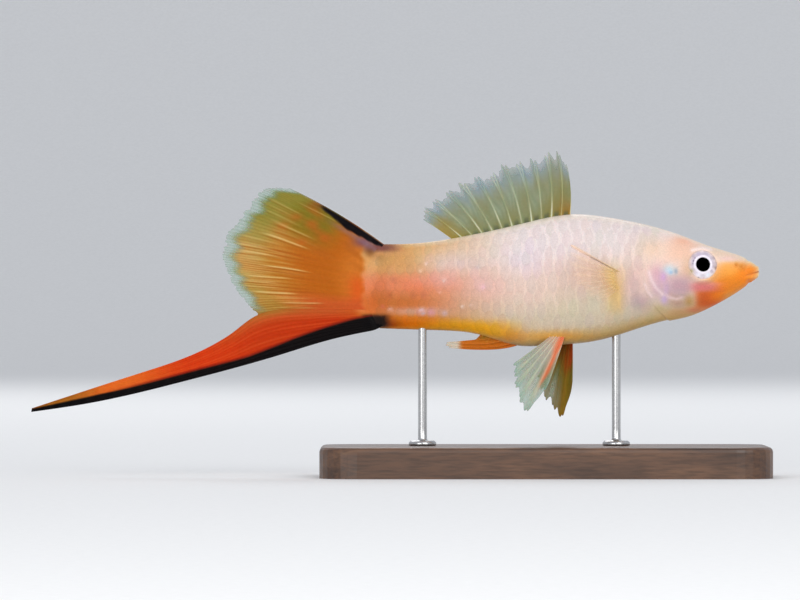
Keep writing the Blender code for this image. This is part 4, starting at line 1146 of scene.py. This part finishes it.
def fin_material(name, glow):
    """A translucent fin: the painted colour and opacity, with a fine streaky grain."""
    material, tree, shader = new_material(
        name, specular_ior_level=0.06, subsurface_weight=glow, subsurface_scale=0.0005,
    )
    paint = painted(tree)
    grain = noise(tree, 2600.0, 3.0)
    shade = spread(tree, grain.outputs["Fac"], 0.94, 1.04, 0.3, 0.7)
    grey = add(tree, "ShaderNodeCombineColor", {"Red": shade, "Green": shade, "Blue": shade})
    colour = blend(tree, 1.0, paint["Color"], grey.outputs["Color"], "MULTIPLY")
    tree.links.new(colour, shader.inputs["Base Color"])
    tree.links.new(paint["Alpha"], shader.inputs["Alpha"])
    tree.links.new(spread(tree, grain.outputs["Fac"], 0.32, 0.5, 0.3, 0.7), shader.inputs["Roughness"])
    relief = add(tree, "ShaderNodeBump", {
        "Height": grain.outputs["Fac"], "Strength": 0.1, "Distance": 0.00005,
    })
    tree.links.new(relief.outputs["Normal"], shader.inputs["Normal"])
    return material


def iris_material():
    """The painted iris with silvery grains."""
    material, tree, shader = new_material("iris", specular_ior_level=0.0)
    grain = noise(tree, 4200.0, 4.0)
    shade = spread(tree, grain.outputs["Fac"], 0.92, 1.06, 0.3, 0.7)
    grey = add(tree, "ShaderNodeCombineColor", {"Red": shade, "Green": shade, "Blue": shade})
    colour = blend(tree, 1.0, painted(tree)["Color"], grey.outputs["Color"], "MULTIPLY")
    tree.links.new(colour, shader.inputs["Base Color"])
    tree.links.new(spread(tree, grain.outputs["Fac"], 0.22, 0.42, 0.3, 0.7), shader.inputs["Roughness"])
    return material


def cornea_material():
    """A clear wet surface with the faintest unevenness."""
    material, tree, shader = new_material("cornea", transmission_weight=1.0, ior=1.0, roughness=0.02)
    shader.inputs["Base Color"].default_value = (0.99, 0.99, 1.0, 1.0)
    wet = noise(tree, 900.0, 1.0)
    relief = add(tree, "ShaderNodeBump", {
        "Height": wet.outputs["Fac"], "Strength": 0.05, "Distance": 0.00002,
    })
    tree.links.new(relief.outputs["Normal"], shader.inputs["Normal"])
    return material


def wood_material():
    """Dark satin wood with its grain along the base."""
    material, tree, shader = new_material("dark_wood", coat_weight=0.25, coat_roughness=0.25)
    place = add(tree, "ShaderNodeTexCoord")
    stretched = add(tree, "ShaderNodeMapping", {
        "Vector": place.outputs["Object"], "Scale": (0.12, 1.0, 1.0),
    })
    waves = add(tree, "ShaderNodeTexNoise", {
        "Vector": stretched.outputs["Vector"], "Scale": 260.0, "Detail": 4.0, "Distortion": 0.8,
    })
    fine = add(tree, "ShaderNodeTexNoise", {
        "Vector": stretched.outputs["Vector"], "Scale": 2600.0, "Detail": 3.0,
    })
    tones = add(tree, "ShaderNodeValToRGB", {"Fac": waves.outputs["Fac"]})
    ends = tones.color_ramp.elements
    ends[0].position, ends[0].color = 0.32, (0.055, 0.024, 0.012, 1)
    ends[1].position, ends[1].color = 0.68, (0.16, 0.075, 0.036, 1)
    pores = spread(tree, fine.outputs["Fac"], 0.7, 1.1, 0.35, 0.6)
    grey = add(tree, "ShaderNodeCombineColor", {"Red": pores, "Green": pores, "Blue": pores})
    colour = blend(tree, 1.0, tones.outputs["Color"], grey.outputs["Color"], "MULTIPLY")
    tree.links.new(colour, shader.inputs["Base Color"])
    tree.links.new(spread(tree, fine.outputs["Fac"], 0.34, 0.55, 0.3, 0.7), shader.inputs["Roughness"])
    relief = add(tree, "ShaderNodeBump", {
        "Height": fine.outputs["Fac"], "Strength": 0.25, "Distance": 0.00008,
    })
    tree.links.new(relief.outputs["Normal"], shader.inputs["Normal"])
    return material


def steel_material():
    """Satin steel, with fine lines round the rod."""
    material, tree, shader = new_material("satin_steel", metallic=1.0)
    place = add(tree, "ShaderNodeTexCoord")
    stretched = add(tree, "ShaderNodeMapping", {
        "Vector": place.outputs["Object"], "Scale": (0.1, 0.1, 1.0),
    })
    lines = add(tree, "ShaderNodeTexNoise", {
        "Vector": stretched.outputs["Vector"], "Scale": 9000.0, "Detail": 2.0,
    })
    shade = spread(tree, lines.outputs["Fac"], 0.52, 0.57, 0.3, 0.7)
    grey = add(tree, "ShaderNodeCombineColor", {"Red": shade, "Green": shade, "Blue": shade})
    tree.links.new(grey.outputs["Color"], shader.inputs["Base Color"])
    tree.links.new(spread(tree, lines.outputs["Fac"], 0.2, 0.28, 0.3, 0.7), shader.inputs["Roughness"])
    return material


def build_stage():
    """A pale floor that curves up into a wall all round, soft lights and the camera."""
    radius, bend = 2.3, 0.9
    profile = [(radius * r, 0.0) for r in (0.05, 0.2, 0.5, 0.8, 1.0)]
    profile += [(radius + bend * math.sin(a), bend - bend * math.cos(a))
                for a in np.linspace(0, math.pi / 2, 20)[1:]]
    around = np.arange(96) * 2 * math.pi / 96
    points = [(0.0, 0.0, 0.0)]
    points += [(r * math.cos(a), r * math.sin(a), h) for r, h in profile for a in around]
    faces = [[1 + i for i in reversed(f)] for f in ring_faces(len(profile), 96)]
    faces += [[0, 1 + k, 1 + (k + 1) % 96] for k in range(96)]
    mesh = bpy.data.meshes.new("backdrop")
    mesh.from_pydata(points, [], faces)
    mesh.shade_smooth()
    floor = bpy.data.objects.new("backdrop", mesh)
    bpy.context.scene.collection.objects.link(floor)
    material, tree, shader = new_material("pale_paper", roughness=0.9)
    fibres = noise(tree, 700.0, 4.0)
    tone = add(tree, "ShaderNodeValToRGB", {"Fac": fibres.outputs["Fac"]})
    ends = tone.color_ramp.elements
    ends[0].position, ends[0].color = 0.35, (0.86, 0.862, 0.855, 1)
    ends[1].position, ends[1].color = 0.65, (0.89, 0.892, 0.885, 1)
    tree.links.new(tone.outputs["Color"], shader.inputs["Base Color"])
    mesh.materials.append(material)

    for name, place, size, power, warmth in (
        ("key", (0.5, -1.15, 0.55), 0.9, 7.0, (1.0, 0.98, 0.95)),
        ("fill", (-0.6, -1.2, 0.15), 0.8, 5.0, (1.0, 0.99, 0.98)),
        ("back", (-0.2, 1.1, 1.0), 0.9, 5.0, (1.0, 1.0, 1.0)),
    ):
        light = bpy.data.lights.new(name, "AREA")
        light.shape, light.size, light.energy, light.color = "DISK", size, power, warmth
        obj = bpy.data.objects.new(name, light)
        obj.location = place
        aim = Vector((0.0, 0.0, 0.03)) - obj.location
        obj.rotation_euler = aim.to_track_quat("-Z", "Y").to_euler()
        obj.visible_camera = False
        bpy.context.scene.collection.objects.link(obj)
    world = bpy.data.worlds.new("studio")
    world.use_nodes = True
    world.node_tree.nodes["Background"].inputs["Color"].default_value = (0.9, 0.93, 1.0, 1.0)
    world.node_tree.nodes["Background"].inputs["Strength"].default_value = 0.65
    bpy.context.scene.world = world

    camera = bpy.data.cameras.new("camera")
    camera.lens, camera.sensor_width = 400.0, 36.0
    camera.clip_start = 0.05
    obj = bpy.data.objects.new("camera", camera)
    obj.location = (-0.0232, -1.42222, 0.02832)
    obj.rotation_euler = (math.radians(90), 0, 0)
    bpy.context.scene.collection.objects.link(obj)
    bpy.context.scene.camera = obj
    bpy.context.scene.view_settings.view_transform = "Standard"


def build_fins():
    draw = np.random.default_rng(SEED)
    material = fin_material("fin_membrane", 0.1)
    build_fin("dorsal_fin", dorsal_surface, DORSAL_RAYS, 64, dorsal_colour, material,
              width=(0.085, 0.05), forks=((0.5, 1.15, 0.15),), notch=0.085, peak=0.12, tips=0.075, draw=draw)
    build_fin("caudal_fin", fan_surface, FAN_RAYS, 76, fan_colour, material,
              per_ray=24, width=(0.26, 0.07), forks=((0.1, 0.6, 0.25), (0.4, 0.85, 0.125)), notch=0.012,
              peak=0.14, ridge=(0.58, 0.32, 0.09), web=(0.56, 0.26, 0.05), tips=0.02,
              limit=flesh_limit, draw=draw)
    build_fin("sword", sword_surface, SWORD_RAYS, 190, sword_colour, material,
              per_ray=10, width=(0.3, 0.24), notch=0.0, ridge=(0.85, 0.56, 0.3),
              web=(0.8, 0.46, 0.24), wave=0.03, limit=flesh_limit, draw=draw)
    build_fin("anal_fin", anal_surface, len(ANAL_ROOTS), 60, anal_colour, material,
              per_ray=16, width=(0.26, 0.2), notch=0.02, ridge=(1.3, 1.0, 0.35), web=(1.0, 0.5, 0.2),
              wave=0.03, draw=draw)
    for side, pose, colour in ((-1, PELVIC_RIGHT, near_pelvic_colour), (1, PELVIC_LEFT, far_pelvic_colour)):
        name = "pelvic_fin_right" if side < 0 else "pelvic_fin_left"
        build_fin(name, pelvic_surface(pose, side), len(PELVIC_LENGTHS), 60, colour, material,
                  per_ray=20, width=(0.22, 0.12), forks=((0.45, 1.15, 0.14),), notch=0.05,
                  peak=0.2, ridge=(0.7, 0.5, 0.12), web=(0.4, 0.14, 0.05), tips=0.03, draw=draw)
    material = fin_material("thin_membrane", 0.0)
    for side in (-1, 1):
        name = "pectoral_fin_right" if side < 0 else "pectoral_fin_left"
        build_fin(name, pectoral_surface(side), len(PECTORAL_LENGTHS), 56, pectoral_colour,
                  material, per_ray=16, width=(0.22, 0.1), forks=((0.5, 1.15, 0.13),),
                  notch=0.04, peak=0.2, ridge=(0.34, 0.26, 0.08), web=(0.22, 0.1, 0.05),
                  tips=0.03, draw=draw)


def main():
    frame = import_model()

    build_skin(skin_material("pearl_skin", 0.1))
    scales = skin_material("pearl_scales", 0.12)
    draw = np.random.default_rng(SEED + 1)
    half = SCALE_ROWS // 2
    build_scales("scales_right", range(half), scales, draw)
    build_scales("scales_left", range(half, SCALE_ROWS), scales, draw)
    build_fins()
    iris, cornea = iris_material(), cornea_material()
    for side in (-1, 1):
        build_eye(side, iris, cornea)
    steel = steel_material()
    for name, s in ROD_AT.items():
        build_rod(name, s, steel)
    base = frame["nodes"]["stand_base"]
    base.data.materials.clear()
    base.data.materials.append(wood_material())
    build_stage()


main()
